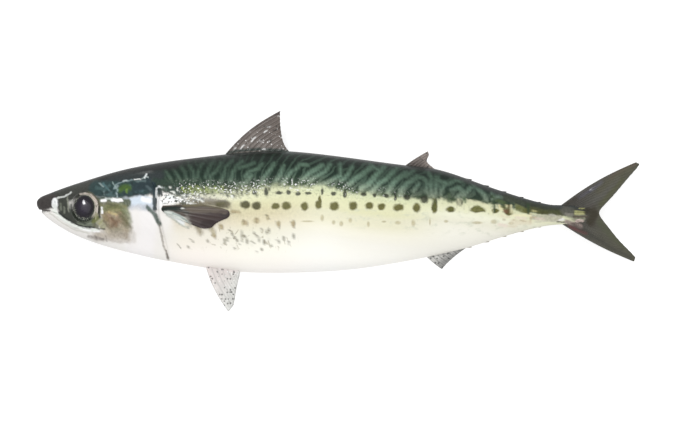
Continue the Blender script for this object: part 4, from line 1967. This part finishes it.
@dataclass
class Studio:
    """A pale floor under a white dome, with a broad fill and one small softbox for the wet shine.

    Attributes:
        view_width: Width of the view at the fish, in metres.
        lens, sensor: The camera's lens and the width of its sensor, in millimetres.
        aim: The place that it looks at, in metres.
        horizon, zenith: Strengths of the dome's light at its foot and at its top.
        fill_place, fill_size, fill_watts: Where the fill hangs, its two sides in metres and its power.
        key_place, key_size, key_watts: The same of the small softbox.
        floor_size: Side of the floor, in metres.
        floor_greys: The two greys that the floor clouds between.
        floor_glow: How strongly the floor shines by itself.
    """

    view_width: float = 0.40698
    lens: float = 200.0
    sensor: float = 36.0
    aim: tuple[float, float, float] = (0.0076, -0.0063, 0.023)
    horizon: float = 0.8
    zenith: float = 0.85
    fill_place: tuple[float, float, float] = (0.15, 0.3, 2.6)
    fill_size: tuple[float, float] = (2.2, 2.2)
    fill_watts: float = 14.5
    key_place: tuple[float, float, float] = (-0.30, 0.56, 1.50)
    key_size: tuple[float, float] = (0.16, 0.26)
    key_watts: float = 9.0
    floor_size: float = 6.0
    floor_greys: tuple[float, float] = (0.39, 0.41)
    floor_glow: float = 0.72

    def build(self) -> None:
        """Sets up the floor, the lights and the camera."""
        self.floor()
        self.lights()
        self.camera()
        bpy.context.scene.view_settings.view_transform = "Standard"

    def floor(self) -> None:
        """Lays the floor."""
        just_under = -0.0004
        bpy.ops.mesh.primitive_plane_add(size=self.floor_size, location=(0, 0, just_under))
        floor = named("floor")
        graph = Graph("pale_floor")
        tone = graph.cloud(graph.node("TexCoord").outputs["Object"], 0.4)
        dark, pale = ((grey, grey, grey, 1) for grey in self.floor_greys)
        graph.feed(graph.shader.inputs["Base Color"], graph.mix(tone, dark, pale))
        graph.set(Roughness=0.7, Specular_IOR_Level=0.2, Emission_Strength=self.floor_glow)
        graph.shader.inputs["Emission Color"].default_value = (1, 1, 1, 1)
        floor.data.materials.append(graph.material)
        floor.visible_glossy = False

    def lights(self) -> None:
        """Hangs the dome, the broad fill and the small key."""
        world = bpy.data.worlds.new("dome")
        bpy.context.scene.world = world
        world.use_nodes = True
        background = world.node_tree.nodes["Background"]
        background.inputs["Color"].default_value = (1, 1, 1, 1)
        place_node = world.node_tree.nodes.new("ShaderNodeTexCoord")
        split = world.node_tree.nodes.new("ShaderNodeSeparateXYZ")
        fade = world.node_tree.nodes.new("ShaderNodeMapRange")
        foot, top = -0.1, 0.9
        for socket, value in zip(list(fade.inputs)[1:5], (foot, top, self.horizon, self.zenith)):
            socket.default_value = value
        world.node_tree.links.new(place_node.outputs["Generated"], split.inputs[0])
        world.node_tree.links.new(split.outputs["Z"], fade.inputs[0])
        world.node_tree.links.new(fade.outputs[0], background.inputs["Strength"])
        self.softbox("fill", self.fill_place, self.fill_size, self.fill_watts)
        self.softbox("key", self.key_place, self.key_size, self.key_watts)

    @staticmethod
    def softbox(name: str, where: tuple[float, ...], size: tuple[float, float], watts: float) -> None:
        """Hangs a softbox that faces the fish.

        Args:
            name: Its name.
            where: Its place.
            size: Its width and height.
            watts: Its power.
        """
        lamp = bpy.data.lights.new(name, "AREA")
        lamp.shape, lamp.size, lamp.size_y, lamp.energy = "RECTANGLE", *size, watts
        box = bpy.data.objects.new(name, lamp)
        box.location = where
        box.rotation_euler = (-Vector(where)).to_track_quat("-Z", "Y").to_euler()
        bpy.context.scene.collection.objects.link(box)

    def camera(self) -> None:
        """Hangs the camera straight over the fish."""
        data = bpy.data.cameras.new("camera")
        data.lens, data.sensor_width = self.lens, self.sensor
        data.clip_end = 50.0
        camera = bpy.data.objects.new("camera", data)
        distance = self.view_width * self.lens / self.sensor
        camera.location = (self.aim[0], self.aim[1], self.aim[2] + distance)
        bpy.context.scene.collection.objects.link(camera)
        bpy.context.scene.camera = camera


# ---------------------------------------------------------------- the whole fish


SMOKY = FinFinish("857D77", "766D67", "554E4A", spark=0.3, fleck=0.2, strength=0.5)
DUSKY = FinFinish("57504C", "A59A93", "4B4440", fleck=0.35, strength=0.45)
ASHEN = FinFinish("DAD9D4", "969693", "6C6C6A", fleck=0.5, strength=0.5)
MILKY = FinFinish("E9E3D2", "DAD2C0", "C4BAA8", strength=0.3)
PALE = FinFinish("E9DFDC", "E2E2DE", "B4B4B0", spark=0.5, fleck=0.6, strength=0.4)
SHADY = FinFinish("5F5750", "453B3C", "352E2D", strength=0.15)
OLIVE = FinFinish("55534E", "5A594C", "3F3F37", strength=0.16)


def fins() -> list[Fin]:
    """Lists the fins with their plans.

    Returns:
        The fins.
    """
    first_dorsal = FanPlan(
        root_on(BACK, 108, 147.5, 2.0),
        ((142.4, 59.2), (142.3, 51), (143.2, 43), (145, 38), (148, 34.2)), 11, 7, (2.0, 0.7), (2.7, 0.0),
    )
    second_dorsal = FanPlan(
        root_on(BACK, 213, 231, 1.5),
        ((228, 35.6), (228.6, 33.2), (227.2, 29.5), (231.5, 25.2)), 7, 4, (1.5, 0.7), (0.4, 0.0),
    )
    anal = FanPlan(
        root_on(BELLY, 226, 250, -1.5),
        ((236, -33.4), (239.5, -29.5), (245, -24.6), (251.5, -19.8)), 8, 4, (1.5, 0.7), (0.4, 0.0),
    )
    pelvic = FanPlan(
        root_on(BELLY, PELVIC_FROM, 117, -3.0),
        ((112, -58), (114.8, -54.5), (116.3, -45), (118.5, -35)), 6, 7, (1.8, 0.8), (1.7, 0.0),
    )
    pectoral = FanPlan(
        ((74.5, 3.6), (73.5, 1.6), (75.2, -0.4)),
        (
            (97, 4.4), (107, 2.8), (114, 0.5), (113.6, -3.2), (106.5, -6), (103.5, -9.2), (97.5, -9.6),
            (88, -4.6),
        ), 9, 8, (1.6, 0.8),
    )
    tail = FanPlan(
        ((304, 2.8), (310, 2.6), (317, -0.8), (310, -4.4), (304, -5.6)),
        (
            (350, 29.4), (352.8, 28.4), (345.4, 19.8), (336.8, 9.8), (329, 1.6), (328.2, -0.8), (329.2, -3),
            (333.8, -8.8), (340.4, -16.8), (348, -24.4), (350.6, -27.6), (348.8, -29.2),
        ), 22, 9, (3.0, 0.8), (2.0, 1.5),
    )
    return [
        Fin("first_dorsal_fin", first_dorsal, Place.BACK, SMOKY),
        Fin("second_dorsal_fin", second_dorsal, Place.BACK, DUSKY),
        Fin("anal_fin", anal, Place.BELLY, ASHEN),
        Fin("pelvic_fin_left", pelvic, Place.BELLY, PALE, 1),
        Fin("pelvic_fin_right", pelvic, Place.BELLY, PALE, -1),
        Fin("pectoral_fin_left", pectoral, Place.FLANK, SHADY, 1),
        Fin("pectoral_fin_right", pectoral, Place.FLANK, SHADY, -1),
        Fin("tail_fin", tail, Place.TAIL, OLIVE),
    ]


@dataclass
class Finlets:
    """The rows of small folded finlets on both edges of the tail stalk.

    Attributes:
        count: How many there are in a row.
        first: Where the first begins.
        last: Where the last begins.
        length: Length of the root of the first.
        height: How far it stands out.
        dwindle: How much smaller than the first the last is, as a share.
        sunk: How far the roots are sunk into the flesh.
        overhang: How far a tip reaches behind its root.
    """

    count: int = 5
    first: float = 246.0
    last: float = 288.0
    length: float = 6.8
    height: float = 0.25
    dwindle: float = 0.25
    sunk: float = 0.8
    overhang: float = 1.2

    def build(self) -> list[Piece]:
        """Models both rows.

        Returns:
            The two rows, one piece each.
        """
        return [self.row("finlets_back", BACK, 1.0, SHADY), self.row("finlets_belly", BELLY, -1.0, MILKY)]

    def row(self, name: str, profile: Curve, outwards: float, finish: FinFinish) -> Piece:
        """Models one row.

        Args:
            name: The row's name.
            profile: The edge that it stands on.
            outwards: 1 on the back, -1 on the belly.
            finish: Its membrane.

        Returns:
            The row.
        """
        pieces = []
        for i in range(self.count):
            front = self.first + (self.last - self.first) * i / (self.count - 1)
            size = 1 - self.dwindle * i / (self.count - 1)
            rear = front + self.length * size
            rise = self.height * size * outwards
            edge = float(profile.at(rear))
            margin = ((rear + self.overhang, edge + rise), (rear, edge))
            plan = FanPlan(root_on(profile, front, rear, self.sunk * outwards), margin, 3, 2, (1.1, 0.5))
            place_on = Place.BACK if outwards > 0 else Place.BELLY
            pieces.append(Fin(f"{name}_{i}", plan, place_on, finish).build())
        bpy.ops.object.select_all(action="DESELECT")
        for piece in pieces:
            piece.select_set(True)
        bpy.context.view_layer.objects.active = pieces[0]
        bpy.ops.object.join()
        pieces[0].name = pieces[0].data.name = name
        return pieces[0]


def main() -> None:
    """Builds the fish and its studio."""
    logging.basicConfig(level=logging.INFO, format="%(name)s: %(message)s")
    Trunk().build()
    for side in (1, -1):
        Eye(side).build()
    for fin in fins():
        fin.build()
    Finlets().build()
    Studio().build()


if __name__ == "__main__":
    main()
